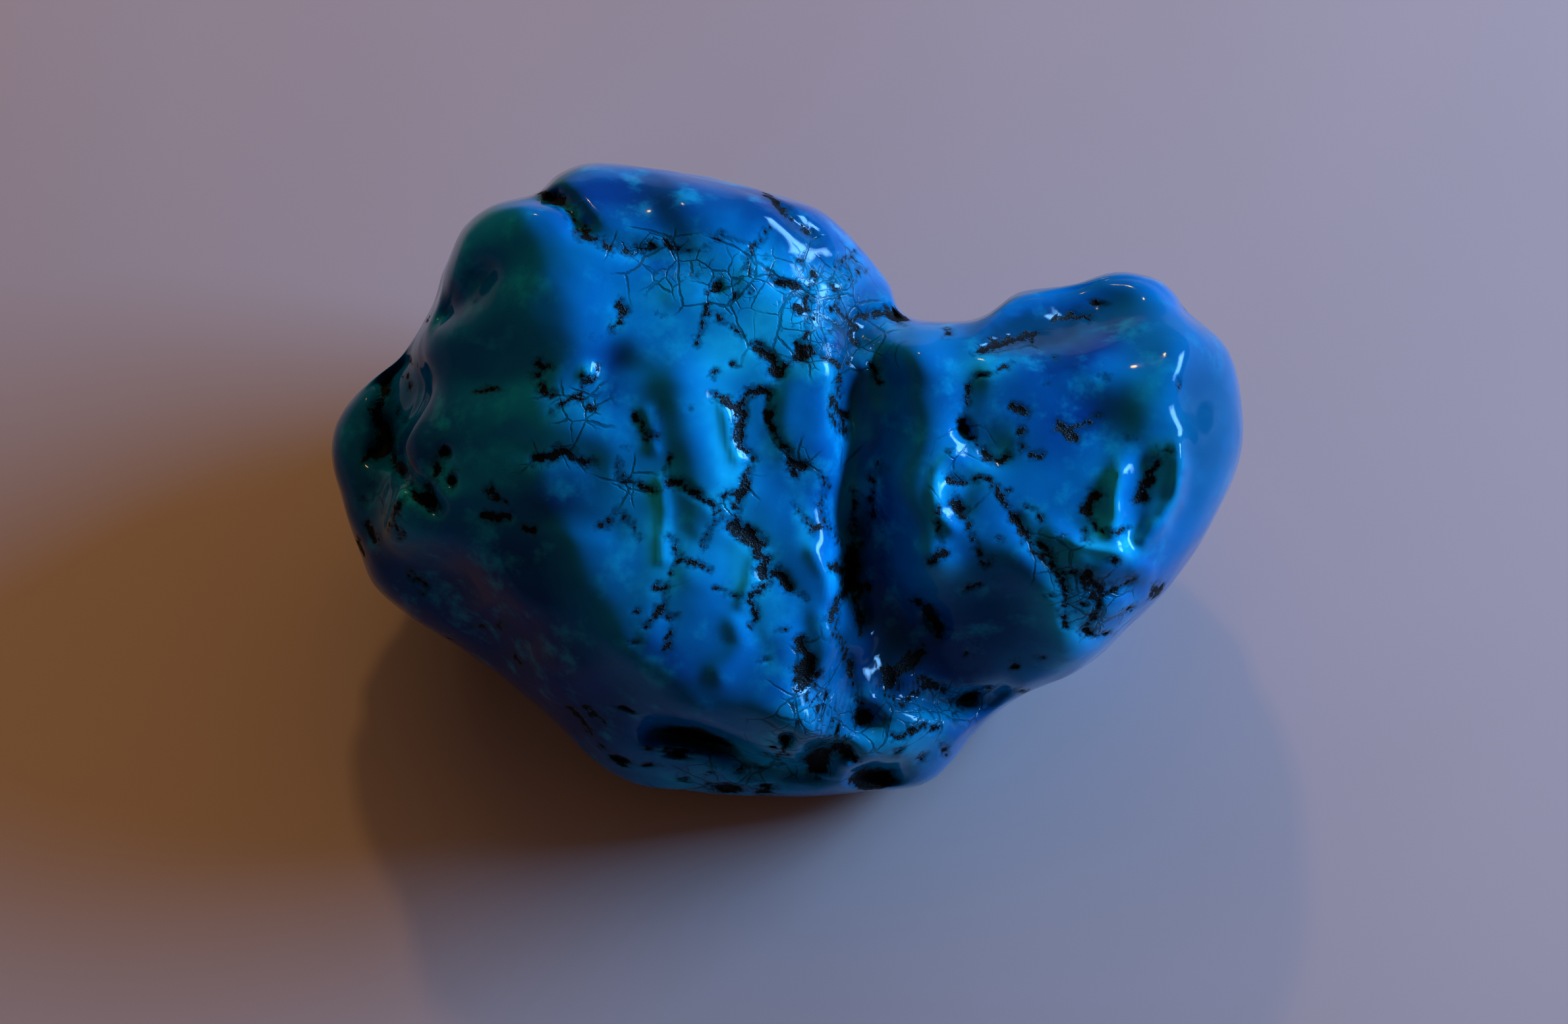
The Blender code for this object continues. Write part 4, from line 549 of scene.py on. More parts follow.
# Teal ovals: stains, and painted shade in the strong ovals of the cleft and behind the right lobe
TEAL_AND_SHADE_ZONES = [
    # crown and boss
    (3.0, 16.6, 2.4, 1.4, -45, 0.3), (0.6, 18.4, 3.0, 1.2, -32, 0.25), (-19.0, 13.6, 1.6, 2.6, 10, 0.27),
    (-8.3, 19.8, 1.2, 2.2, 12, 0.22), (-5.0, 19.6, 1.6, 0.8, 0, 0.14), (-24.0, 11.0, 1.6, 3.0, -20, 0.14),
    (-5.6, 12.6, 1.6, 1.8, 0, 0.10),
    # left slope and toe
    (-27.6, 3.0, 2.4, 5.0, 0, 0.5), (-18.0, 8.0, 2.6, 1.8, 0, 0.12), (-18.9, 5.0, 1.8, 2.2, 0, 0.12),
    (-14.2, 6.6, 1.8, 1.4, 0, 0.10), (-17.2, 3.0, 3.0, 1.2, 0, 0.16), (-18.6, -0.4, 2.6, 1.2, 0, 0.10),
    (-14.0, -0.4, 2.6, 0.5, 0, 0.12), (-25.6, 6.0, 2.0, 3.0, 0, 0.14), (-11.4, 9.4, 1.4, 1.0, 0, 0.10),
    (-9.6, 0.2, 1.6, 0.9, -20, 0.10),
    # plateau
    (-8.4, 5.8, 0.8, 1.4, 0, 0.4), (3.4, 4.2, 0.9, 1.2, 0, 0.10), (1.6, -9.4, 1.0, 2.4, 0, 0.14),
    # cleft
    (5.2, 11.4, 1.5, 2.0, 0, 0.8), (6.0, 14.0, 1.6, 1.6, 0, 0.5), (6.8, -9.2, 1.8, 2.2, 0, 0.9),
    (4.1, 9.4, 0.8, 2.8, 0, 0.6), (3.9, -8.6, 1.0, 2.2, 0, 0.8),
    # right lobe
    (12.4, 4.6, 1.4, 1.0, 0, 0.3), (16.0, 11.8, 3.2, 0.9, 12, 0.8), (12.2, 4.4, 1.2, 0.8, 0, 0.3),
    (17.2, 11.8, 4.2, 1.5, 14, 0.8), (14.6, 11.4, 3.4, 1.0, 12, 0.19), (19.4, 13.2, 1.8, 0.8, 0, 0.16),
    (11.9, 6.8, 0.7, 1.8, 0, 0.14), (19.2, -5.6, 3.0, 2.0, -40, 0.14), (27.8, 6.0, 3.4, 7.0, 0, 0.88),
    (26.0, -3.6, 3.0, 3.0, 0, 0.3),
    # lower edge
    (4.0, -13.6, 4.4, 1.6, 0, 0.4), (11.8, -11.6, 2.6, 1.2, 20, 0.14),
]
# Deep ovals: deep blue tone, and largely painted shade, as in the cleft, on the lower front, the long flank,
# the left slope, the toe and the back of the right lobe
DEEP_AND_SHADE_ZONES = [
    # crown and boss
    (-13.6, 19.4, 3.2, 1.3, 0, 0.6), (-7.0, 16.0, 2.4, 1.2, 0, 0.8), (1.0, 18.0, 3.6, 1.6, -32, 1.0),
    (-7.6, 19.4, 3.6, 1.8, 0, 0.7), (-12.4, 21.2, 4.0, 1.2, 0, 0.8), (-1.0, 11.3, 1.4, 0.8, 0, 0.3),
    (-4.0, 20.6, 8.0, 1.4, -8, 0.5),
    # left slope and toe
    (-11.3, 7.6, 1.3, 1.2, 0, 0.7), (-15.2, 1.3, 3.2, 1.5, -4, 0.7), (-11.3, 9.6, 1.7, 1.2, 20, 0.8),
    (-22.0, 9.0, 2.4, 7.0, 0, 0.5), (-17.4, -3.0, 5.0, 4.0, -35, 0.9), (-27.0, 1.0, 3.0, 7.0, 10, 0.9),
    (-24.0, 4.0, 2.4, 4.0, 0, 0.6), (-20.0, -9.0, 9.0, 4.0, -38, 0.9),
    # plateau
    (0.0, -9.2, 1.6, 1.6, 0, 0.35), (-8.2, 5.9, 1.4, 1.2, 0, 0.4), (-6.2, 9.0, 1.8, 2.4, 0, 0.25),
    (2.2, 9.0, 1.6, 4.0, 0, 0.4), (-7.4, -9.6, 2.6, 1.4, -35, 0.8), (2.4, 2.5, 1.2, 2.8, 0, 0.6),
    (-0.6, 1.6, 1.0, 2.4, 25, 0.4), (-5.6, 3.0, 1.2, 1.6, 30, 0.4),
    # cleft
    (4.4, -9.6, 1.2, 2.2, 0, 0.5), (3.6, 12.0, 2.6, 2.6, 0, 0.5), (4.2, 10.0, 1.1, 3.2, 0, 0.9),
    (6.0, -3.0, 1.2, 8.0, 0, 0.8), (7.2, -8.6, 2.2, 3.2, 0, 0.6), (5.6, -1.6, 1.2, 3.0, 0, 0.5),
    (6.8, 5.0, 1.8, 5.4, 0, 0.6),
    # right lobe
    (27.4, 10.0, 2.0, 3.0, 0, 0.4), (18.0, 4.4, 2.4, 2.2, 0, 0.5), (10.4, 8.0, 1.8, 3.2, 0, 0.3),
    (19.0, 11.6, 5.0, 1.6, 15, 0.9), (21.0, 14.8, 5.0, 1.4, 15, 0.5), (8.6, -11.0, 4.6, 3.4, 0, 1.0),
    (14.0, -7.2, 5.4, 3.8, 15, 0.75), (17.4, 8.4, 6.4, 4.0, 0, 0.6), (16.8, 11.4, 4.6, 1.8, 12, 0.8),
    (20.6, 6.2, 2.6, 2.0, 0, 0.5),
    # lower edge
    (6.9, -14.8, 1.6, 1.2, 0, 0.5), (2.0, -15.4, 10.0, 3.0, 0, 0.4), (-14.0, -11.6, 8.0, 3.6, -38, 0.9),
    (7.0, -13.4, 5.0, 2.4, 10, 1.0),
]
NET_ZONES = [
    # crown and boss
    (-3.6, 15.6, 7.6, 2.4, 0, 0.8), (-1.4, 11.6, 4.6, 2.6, 0, 0.35), (2.8, 12.8, 2.8, 3.6, 0, 0.75),
    (-8.6, 17.6, 2.4, 1.2, 0, 0.6),
    # left slope and toe
    (-13.6, 6.8, 2.6, 2.2, 0, 0.8), (-10.2, 1.8, 2.2, 1.8, 0, 0.6), (-25.0, 1.0, 2.6, 2.6, 0, 0.5),
    (-16.0, 3.6, 3.0, 1.0, 0, 0.6),
    # plateau
    (0.6, 3.6, 2.8, 1.8, 0, 0.5), (-3.2, 0.6, 1.4, 1.2, 0, 0.8), (-7.2, -5.2, 2.4, 3.2, 0, 0.25),
    # cleft
    (6.2, 11.0, 1.8, 1.8, 0, 0.6), (5.0, 2.6, 1.2, 4.0, 0, 0.4),
    # right lobe
    (11.8, 3.0, 2.4, 3.4, 0, 0.6), (18.6, -3.6, 3.4, 2.0, -30, 0.7), (20.4, -6.6, 2.4, 1.8, 0, 0.7),
    (15.0, 11.0, 3.8, 1.2, 12, 0.4),
    # lower edge
    (1.8, -11.6, 2.6, 4.8, 0, 0.4), (3.0, -14.2, 6.4, 2.6, 0, 0.5), (11.0, -12.4, 3.6, 1.6, 20, 0.7),
    (-4.0, -17.6, 6.0, 1.4, 0, 0.6),
]

# Powers by which the flat-topped forms fall off at their rims
NODULE_STEEPNESS = 6
HOLLOW_STEEPNESS = 5
PIT_STEEPNESS = 4
# Cracks: how far the dark and the groove reach past the half width, and the share of the depth sunk
CRACK_SPREAD = 0.04
CRACK_BEVEL = 0.10
CRACK_SINK = 0.4
# Hollows at least this deep in mm are painted dark inside, with matrix and painted shade, out to this part
# of their oval
DARK_HOLLOW = 0.9
DARK_PART = 0.55

# Creases of the hidden sides: grain, seed, wander (grain, reach, seed), opening (grain, seed, low, high)
BROAD_CREASES = (6.4, 5, (2.4, 0.7, 11), (5.0, 21, 0.42, 0.70))
FINE_CREASES = (2.5, 6, (0.9, 0.25, 31), (7.0, 22, 0.52, 0.70))
BROAD_WIDTH = 0.22
FINE_WIDTH = 0.10
CREASE_CLOSING = 0.6  # how far a closed crease lies from being dark
BROAD_GROOVE = (0.85, 0.9)  # depth and half width of its groove
FINE_GROOVE = (0.30, 0.35)
FINE_ALWAYS = 0.3  # share of the fine groove where the crease is closed
# Pits of the hidden sides: scatter, wander, crowding (grain, seed, low, high), and the least share and
# radius with what crowding and the grain's number add to them
PIT_GRAIN = 2.1
PIT_SEED = 7
PIT_WANDER = (0.6, 0.25, 41)
PIT_CROWDING = (6.0, 23, 0.40, 0.75)
PIT_SHARE = (0.15, 0.45)
PIT_RADIUS = (0.12, 0.9)
NO_PIT = -3.0
BACK_SINK = 0.45  # depth of the hidden sides' dark marks
BACK_SINK_EDGE = (-0.12, 0.25)

# How far the skin faces out of the show face, from -1 to 1, where each thing starts and is full
FACING = (0.10, 0.45)  # relief of the show face
SEEN = (-0.05, 0.15)  # colours and marks of the show face
HIDDEN_START = 0.2  # swells of the hidden sides, which are full HIDDEN_SPAN lower
HIDDEN_SPAN = 0.6
BACK_MARKED = (-0.35, -0.02)  # marks of the hidden sides, by how far the skin faces away
BACK_CREASED = (-0.05, 0.35)  # creases of the hidden sides, by how far the skin faces away

# Colours that the skin carries: the show face's ovals, and the hidden sides' grain, seed, low and high
COLOUR_ZONES = {
    # On the show face the pale ovals carry painted highlights and the teal and deep ovals painted shade; the
    # hidden sides' patches are tone only
    "pale": (PALE_AND_HIGHLIGHT_ZONES, 7.0, 81, 0.62, 0.85),
    "teal": (TEAL_AND_SHADE_ZONES, 8.5, 82, 0.58, 0.80),
    "deep": (DEEP_AND_SHADE_ZONES, 10.0, 83, 0.50, 0.80),
    "net": (NET_ZONES, 6.0, 84, 0.50, 0.75),
}
# Numbers on the skin that the material reads
TINTS = ("matrix", *COLOUR_ZONES)
FAR_OFF = 1e9  # a distance that is never the least
OUT_OF_REACH = 9.0  # a distance from the marks, in mm, at which they colour nothing
LEAST_TINT, MOST_TINT = -1.0, 3.0  # ends of the distance that the skin carries
TABLE_SIDE = 32  # cells along each side of the noise's table

# Colours of the stone, sRGB
MID_BLUE = "#006eba"
SKY_BLUE = "#0082ce"
# Deep blue and teal also paint shade on the show face, and pale cyan also paints highlights
DEEP_BLUE_AND_SHADE = "#003880"
PALE_CYAN_AND_HIGHLIGHT = "#10b8ee"
TEAL_STAIN_AND_SHADE = "#003a5e"
DARK_TEAL = "#022c38"
MATRIX_BLACK = "#050606"
GLOSS_CYAN = "#b8e8ff"
# Sizes of the stone's patterns in mm: colour drifts, ragged rims, crystals of the matrix and sprayed pits
DRIFT_GRAIN = 9.0
MOTTLE_GRAIN = 2.5
PATCH_GRAIN = 1.9
RAGGED_GRAIN = 0.5
CRYSTAL_GRAIN = 0.12
SPECK_GRAIN = 1.1
SPECK_OPENING = (0.34, 0.62)  # a grain's number times the net's strength, where its pit opens and is full
SPECK_REACH = 0.95  # a full pit's radius is SPECK_REACH less SPECK_SHORT
SPECK_SHORT = 0.55
# Hair cracks: grain and half width in mm, then the coverage from which they open and are full
HAIRS = ((3.4, 0.11, 0.08, 0.20), (1.7, 0.08, 0.18, 0.32), (0.8, 0.05, 0.32, 0.48))
HAIR_BEND = 0.9  # how far the mottle bends them
HAIR_CORE = 0.2  # part of the half width that is fully dark
# Two noises fray the marks' edges, in mm, less about their mean so that the marks keep their size
RAGGED_FRAY = 1.20
MOTTLE_FRAY = 0.46
FRAY_MIDDLE = 0.80
# Distances in mm from a mark's edge where a colour ends and where it is full
MATRIX_EDGE = (0.05, -0.03)
STAIN_EDGE = (0.42, 0.0)
RIM_EDGE = (1.3, 0.25)
# Greatest strengths of the colours that lie over the blue
PALE_STRENGTH = 0.75
FLECK_STRENGTH = 0.45
RIM_STRENGTH = 0.45
STAIN_STRENGTH = 0.75
HAIR_STRENGTH = 0.62
# Refractive index, and the roughness of the polished blue and of the matrix, smoothest and dullest
STONE_IOR = 1.24
BLUE_ROUGHNESS = (0.06, 0.13)
MATRIX_ROUGHNESS = (0.45, 0.85)
# Fine heights in mm: depth of the hair cracks, height of the matrix's crystals and of the polish's ripple
HAIR_DEPTH = 0.03
CRYSTAL_HEIGHT = 0.05
RIPPLE_HEIGHT = 0.012
SMOOTH = {"interpolation_type": "SMOOTHSTEP"}

# Stage: the floor's side and its paper's patterns in metres, then the camera's view at the stone in mm
FLOOR_SIDE = 1.4
PAPER_MOTTLE = 0.025
PAPER_WAVES = 0.06
PAPER_ROUGHNESS = 0.9
PAPER_GREY = "#9b9396"
PAPER_PALE = "#a1999d"
VIEW_WIDTH = 103.03
SENSOR_WIDTH = 36.0
CLIP_START = 0.01
ROOM_GLOW = "#ffb890"
ROOM_STRENGTH = 0.13
# Soft lights: name, way toward it, distance, width and height in metres, power in watts, colour, whether
# it lights the stone, whether the polish mirrors it. The card only strengthens the window's mirror image.
LIGHTS = [
    ("window_softbox", (0.86, 0.27, 0.44), 0.40, 0.21, 0.095, 2.95, "#97c8ff", True, True),
    ("window_card", (0.86, 0.27, 0.44), 0.41, 0.30, 0.14, 3.6, "#97c8ff", False, True),
    ("warm_softbox", (0.12, 0.79, 0.60), 0.50, 0.85, 0.62, 1.42, "#ffbc6c", True, False),
    ("warm_bulb", (-0.10, 0.78, 0.62), 0.50, 0.03, 0.03, 0.55, "#ffb868", True, True),
]

RISE = np.sin(np.radians(FACE_TILT))
LEAN = np.cos(np.radians(FACE_TILT))


def closed_curve(points, per_span=12):
    """Closed smooth curve through the points: each span is a Catmull-Rom cubic of its four neighbours."""
    points = np.array(points)
    p0, p1, p2, p3 = (np.roll(points, shift, axis=0)[:, None] for shift in (1, 0, -1, -2))
    t = (np.arange(per_span) / per_span)[None, :, None]
    straight = 2 * p1 + (p2 - p0) * t
    bent = (2 * p0 - 5 * p1 + 4 * p2 - p3) * t**2 + (3 * p1 - p0 - 3 * p2 + p3) * t**3
    return (0.5 * (straight + bent)).reshape(-1, 2)


ROUND_HEART = closed_curve(OUTLINE) - HEART[:2]
BEARINGS = np.arctan2(ROUND_HEART[:, 1], ROUND_HEART[:, 0])
REACHES = np.hypot(ROUND_HEART[:, 0], ROUND_HEART[:, 1])[np.argsort(BEARINGS)]
BEARINGS = np.sort(BEARINGS)


def drawn_in(points):
    """(u, v) of points on the show face's plane, along lines that meet at the tip of the cone."""
    return points[:, :2] * (CONE_TIP / (CONE_TIP - points[:, 2]))[:, None]


def to_stand(points):
    """Turns points of the face frame about the x axis into the stand frame."""
    y = RISE * points[:, 1] - LEAN * points[:, 2]
    z = LEAN * points[:, 1] + RISE * points[:, 2]
    return np.stack([points[:, 0], y, z], axis=1)


def highest_of(fields, rounding):
    """Soft maximum: the highest field, rounded where two of them meet."""
    fields = np.stack(fields)
    top = fields.max(axis=0)
    return top + rounding * np.log(np.exp((fields - top) / rounding).sum(axis=0))


def lowest_of(fields, rounding):
    """Soft minimum: the lowest field, rounded where two of them meet."""
    return -highest_of([-field for field in fields], rounding)


def wall(points):
    """Height outside the wall: reach from the heart less the outline's, drawn in along a parabola."""
    across = drawn_in(points) - HEART[:2]
    bearing = np.arctan2(across[:, 1], across[:, 0])
    reach = np.interp(bearing, BEARINGS, REACHES, period=2 * np.pi)
    off_widest = points[:, 2] - WALL_WIDEST - WALL_LEAN * points[:, 1]
    bulge = np.where(off_widest > 0, WALL_BULGE_FRONT, WALL_BULGE_BACK)
    return WALL_STEEPNESS * (np.hypot(across[:, 0], across[:, 1]) - reach + off_widest**2 / (2 * bulge))


def sway(points, waves):
    """Sum of sine waves over the show face: height * sin(along * u + up * v + shift) for each."""
    u, v = points[:, 0], points[:, 1]
    return sum(rise * np.sin(along * u + up * v + shift) for rise, along, up, shift in waves)


def swayed(points):
    """Points moved across by up to 0.9 mm in slow sine waves, so that facets meet in wavering edges."""
    sideways, upward = sway(points, SWAY_SIDEWAYS), sway(points, SWAY_UPWARD)
    return points + np.stack([sideways, upward, np.zeros(len(points))], axis=1)


def facets(points, planes):
    """Height above the facets: each is a plane, and their lowest part is kept with rounded edges."""
    heights = []
    for u, v, w, fall_u, fall_v in planes:
        plane = w - fall_u * (points[:, 0] - u) - fall_v * (points[:, 1] - v)
        heights.append((points[:, 2] - plane) / np.sqrt(1 + fall_u**2 + fall_v**2))
    return highest_of(heights, EDGE_ROUNDING)


def lump(points, middle, radii, turn, squareness):
    """Height outside a squarish ellipsoid that is turned about the w axis."""
    off = points - np.array(middle)
    angle = np.radians(turn)
    along = off[:, 0] * np.cos(angle) + off[:, 1] * np.sin(angle)
    beside = off[:, 1] * np.cos(angle) - off[:, 0] * np.sin(angle)
    parts = np.abs(np.stack([along, beside, off[:, 2]]) / np.array(radii)[:, None])
    return ((parts**squareness).sum(axis=0) ** (1 / squareness) - 1) * min(radii)


def underside(points):
    """Height outside the flat rest and the sloping cuts round it."""
    stand = to_stand(points)
    heights = [LOWEST - REST_SUNK - stand[:, 2]]
    for bearing, lean, distance in UNDERCUTS:
        around, down = np.radians(bearing), np.radians(lean)
        outward = stand[:, 0] * np.cos(around) + stand[:, 1] * np.sin(around)
        heights.append(outward * np.cos(down) - stand[:, 2] * np.sin(down) - distance)
    return highest_of(heights, REST_ROUNDING)


def stone(points):
    """Height outside the stone: the highest of the wall, the joined lobes and lumps, and the underside."""
    waved = swayed(points)
    parts = [facets(waved, LEFT_LOBE), facets(waved, RIGHT_LOBE)]
    parts += [lump(points, *one) for one in LUMPS]
    return highest_of([wall(points), lowest_of(parts, JOIN_ROUNDING), underside(points)], SKIN_ROUNDING)


def unit(vectors):
    """Vectors of length 1 along the given ones."""
    return vectors / np.linalg.norm(vectors, axis=1, keepdims=True)


def slope(points, reach=0.8):
    """Unit vectors straight out of the skin: the field's rise over a short way along each axis."""
    rises = [stone(points + reach * axis) - stone(points - reach * axis) for axis in np.eye(3)]
    return unit(np.stack(rises, axis=1))


def cube_ball(cells):
    """Unit vectors and quads of a cube's six faces in equal angles, joined along the cube's edges."""
    ruler = np.tan(np.linspace(-np.pi / 4, np.pi / 4, cells + 1))
    a, b = np.meshgrid(ruler, ruler, indexing="ij")
    one = np.ones_like(a)
    sides = [(one, a, b), (-one, b, a), (b, one, a), (a, -one, b), (a, b, one), (b, a, -one)]
    corners = np.concatenate([np.stack(side, axis=-1).reshape(-1, 3) for side in sides])
    start = np.arange(cells * (cells + 1)).reshape(cells, cells + 1)[:, :cells].reshape(-1)
    quad = np.stack([start, start + cells + 1, start + cells + 2, start + 1], axis=1)
    quads = np.concatenate([quad + side * (cells + 1) ** 2 for side in range(6)])
    _, first, same = np.unique(np.round(corners, 6), axis=0, return_index=True, return_inverse=True)
    return unit(corners[first]), same.reshape(-1)[quads]


def cast(ways, steps=60, halvings=20):
    """Where each ray from the heart leaves the stone: steps in from outside, the last of them halved."""
    reach = np.full(len(ways), MOST_REACH)
    step = MOST_REACH / steps
    live = np.arange(len(ways))
    while len(live):
        outside = stone(HEART + ways[live] * reach[live][:, None]) > 0
        live = live[outside]
        reach[live] -= step
    low, high = reach, reach + step
    for _ in range(halvings):
        middle = (low + high) / 2
        inside = stone(HEART + ways * middle[:, None]) < 0
        low, high = np.where(inside, middle, low), np.where(inside, high, middle)
    return HEART + ways * low[:, None]


def to_path(path, u, v):
    """Distance to a bent line: the least distance to any of its straight parts."""
    nearest = np.full(len(u), FAR_OFF)
    for (u0, v0), (u1, v1) in zip(path[:-1], path[1:]):
        run_u, run_v = u1 - u0, v1 - v0
        part = ((u - u0) * run_u + (v - v0) * run_v) / (run_u**2 + run_v**2)
        part = np.clip(part, 0, 1)
        nearest = np.minimum(nearest, np.hypot(u - u0 - part * run_u, v - v0 - part * run_v))
    return nearest


def in_oval(u, v, middle_u, middle_v, length, width, turn):
    """How far out in an oval each point is: 0 at its middle, 1 on its rim."""
    angle = np.radians(turn)
    off_u, off_v = u - middle_u, v - middle_v
    along = off_u * np.cos(angle) + off_v * np.sin(angle)
    beside = off_v * np.cos(angle) - off_u * np.sin(angle)
    return np.hypot(along / length, beside / width)


def relief(u, v):
    """Height of the show face's relief, by how far out d in each stroke or oval a point is.

    Strokes and swells are bells, height * exp(-d ** 2). Nodules and hollows have flat tops and floors,
    height / (1 + d ** power).
    """
    height = np.zeros(len(u))
    for rise, width, path in STROKES:
        height += rise * np.exp(-((to_path(path, u, v) / width) ** 2))
    for *oval, rise in SWELLS:
        height += rise * np.exp(-(in_oval(u, v, *oval) ** 2))
    for *oval, rise in NODULES:
        height += rise / (1 + in_oval(u, v, *oval) ** NODULE_STEEPNESS)
    for *oval, depth in HOLLOWS:
        height -= depth / (1 + in_oval(u, v, *oval) ** HOLLOW_STEEPNESS)
    return height


def back_swell(points):
    """Height of the hidden sides' swells: bell-shaped lumps and dents, and a sum of even waves."""
    height = np.zeros(len(points))
    for middle, radius, rise in BACK_SWELLS:
        height += rise * np.exp(-((points - np.array(middle)) ** 2).sum(axis=1) / radius**2)
    for length, rise, way, shift in BACK_WAVES:
        way = np.array(way) / np.linalg.norm(way)
        height += rise * np.sin(2 * np.pi * points @ way / length + shift)
    return height


def corner_numbers(corners, seed):
    """Three numbers from 0 to 1 for each whole-number corner, read round and round a seeded table."""
    table = np.random.default_rng(seed).random((TABLE_SIDE, TABLE_SIDE, TABLE_SIDE, 3))
    corners = corners % TABLE_SIDE
    return table[corners[:, 0], corners[:, 1], corners[:, 2]]


def smooth_noise(points, size, seed):
    """Noise from 0 to 1: numbers at the corners of cubes of the given size, blended by smoothsteps."""
    place = points / size
    corner = np.floor(place).astype(int)
    part = place - corner
    part = part**2 * (3 - 2 * part)
    total = np.zeros(len(points))
    for step in itertools.product((0, 1), repeat=3):
        weight = np.prod(np.where(np.array(step) == 1, part, 1 - part), axis=1)
        total += weight * corner_numbers(corner + np.array(step), seed)[:, 0]
    return total


def scattered(points, size, seed):
    """One grain in each cube of the given size: distances to the two nearest, and the nearest's number."""
    place = points / size
    corner = np.floor(place).astype(int)
    near = np.full(len(points), FAR_OFF)
    second = np.full(len(points), FAR_OFF)
    number = np.zeros(len(points))
    for step in itertools.product((-1, 0, 1), repeat=3):
        at = corner + np.array(step)
        grain = corner_numbers(at, seed)
        away = size * np.linalg.norm(place - at - grain, axis=1)
        closer = away < near
        second = np.where(closer, near, np.minimum(second, away))
        number = np.where(closer, grain[:, 0], number)
        near = np.where(closer, away, near)
    return near, second, number


def ramp(values, low, high):
    """0 below low, 1 above high, and a smoothstep between them."""
    part = np.clip((values - low) / (high - low), 0, 1)
    return part**2 * (3 - 2 * part)


def wander(points, size, reach, seed):
    """Points moved by up to reach each way, by three smooth noises of the given size."""
    noises = [smooth_noise(points, size, seed + k) for k in range(3)]
    return points + reach * (2 * np.stack(noises, axis=1) - 1)


def wandered(points, turns):
    """Points moved by each of the given wanders in turn."""
    for size, reach, seed in turns:
        points = wander(points, size, reach, seed)
    return points


def front_marks(u, v):
    """Distance to the nearest dark mark's edge on the show face, negative inside, and how far it is sunk.

    A crack's distance is that to its bent line, less half its width and CRACK_SPREAD, and its groove is
    CRACK_SINK * depth * exp(-(distance to the line / (half width + CRACK_BEVEL)) ** 2). With d for how far
    out in its oval a point is, a pit's distance is d - 1 times its mean half size, and it is sunk by
    depth / (1 + d ** PIT_STEEPNESS). A deep hollow is painted dark, with matrix and painted shade, out to
    d = DARK_PART.
    """
    nearest = np.full(len(u), OUT_OF_REACH)
    sink = np.zeros(len(u))
    for width, depth, path in CRACKS:
        away = to_path(path, u, v)
        nearest = np.minimum(nearest, away - width - CRACK_SPREAD)
        sink = np.maximum(sink, CRACK_SINK * depth * np.exp(-((away / (width + CRACK_BEVEL)) ** 2)))
    for *oval, depth in PITS:
        rim = in_oval(u, v, *oval)
        nearest = np.minimum(nearest, (rim - 1) * np.sqrt(oval[2] * oval[3]))
        sink = np.maximum(sink, depth / (1 + rim**PIT_STEEPNESS))
    for *oval, depth in HOLLOWS:
        if depth >= DARK_HOLLOW:
            from_edge = in_oval(u, v, *oval) - DARK_PART
            nearest = np.minimum(nearest, from_edge * np.sqrt(oval[2] * oval[3]))
    return nearest, sink


def creases(points, grain, seed, turn, opening):
    """Half the difference of the distances to the two nearest grains, and how far noise opens the line."""
    near, second, _ = scattered(wander(points, *turn), grain, seed)
    size, opening_seed, low, high = opening
    return (second - near) / 2, ramp(smooth_noise(points, size, opening_seed), low, high)


def hidden_marks(points):
    """The same for the hidden sides, from scattered grains: creases lie where two grains are equally near.

    Smooth noise opens and closes the creases, and some grains of a finer scatter are pits. A crease's
    groove is depth * exp(-(half the difference / half width) ** 2). Dark marks are sunk by BACK_SINK more.
    """
    broad, broad_open = creases(points, *BROAD_CREASES)
    fine, fine_open = creases(points, *FINE_CREASES)
    near, _, number = scattered(wander(points, *PIT_WANDER), PIT_GRAIN, PIT_SEED)
    size, seed, low, high = PIT_CROWDING
    share = PIT_SHARE[0] + PIT_SHARE[1] * ramp(smooth_noise(points, size, seed), low, high)
    pit = near - np.where(number < share, PIT_RADIUS[0] + PIT_RADIUS[1] * number, NO_PIT)
    broad_mark = broad - BROAD_WIDTH * broad_open + CREASE_CLOSING * (1 - broad_open)
    fine_mark = fine - FINE_WIDTH + CREASE_CLOSING * (1 - fine_open)
    nearest = np.minimum(np.minimum(broad_mark, fine_mark), pit)
    groove = BROAD_GROOVE[0] * np.exp(-((broad / BROAD_GROOVE[1]) ** 2))
    groove += FINE_GROOVE[0] * np.exp(-((fine / FINE_GROOVE[1]) ** 2)) * (FINE_ALWAYS + fine_open)
    return nearest, groove + BACK_SINK * ramp(-nearest, *BACK_SINK_EDGE)


def zones(u, v, ovals):
    """Strength of a colour: bells over ovals, strength * exp(-d ** 2), added up and held at 1."""
    bells = [strength * np.exp(-(in_oval(u, v, *oval) ** 2)) for *oval, strength in ovals]
    return np.clip(sum(bells), 0, 1)


def rays(cells):
    """Unit ways from the heart, aimed at an even ball laid inside the stone, and the ball's quads."""
    ball, quads = cube_ball(cells)
    ball = unit(ball + np.array([0.0, 0.0, BALL_LEAN]))
    return unit(BALL_MIDDLE + ball * BALL_RADII - HEART), quads


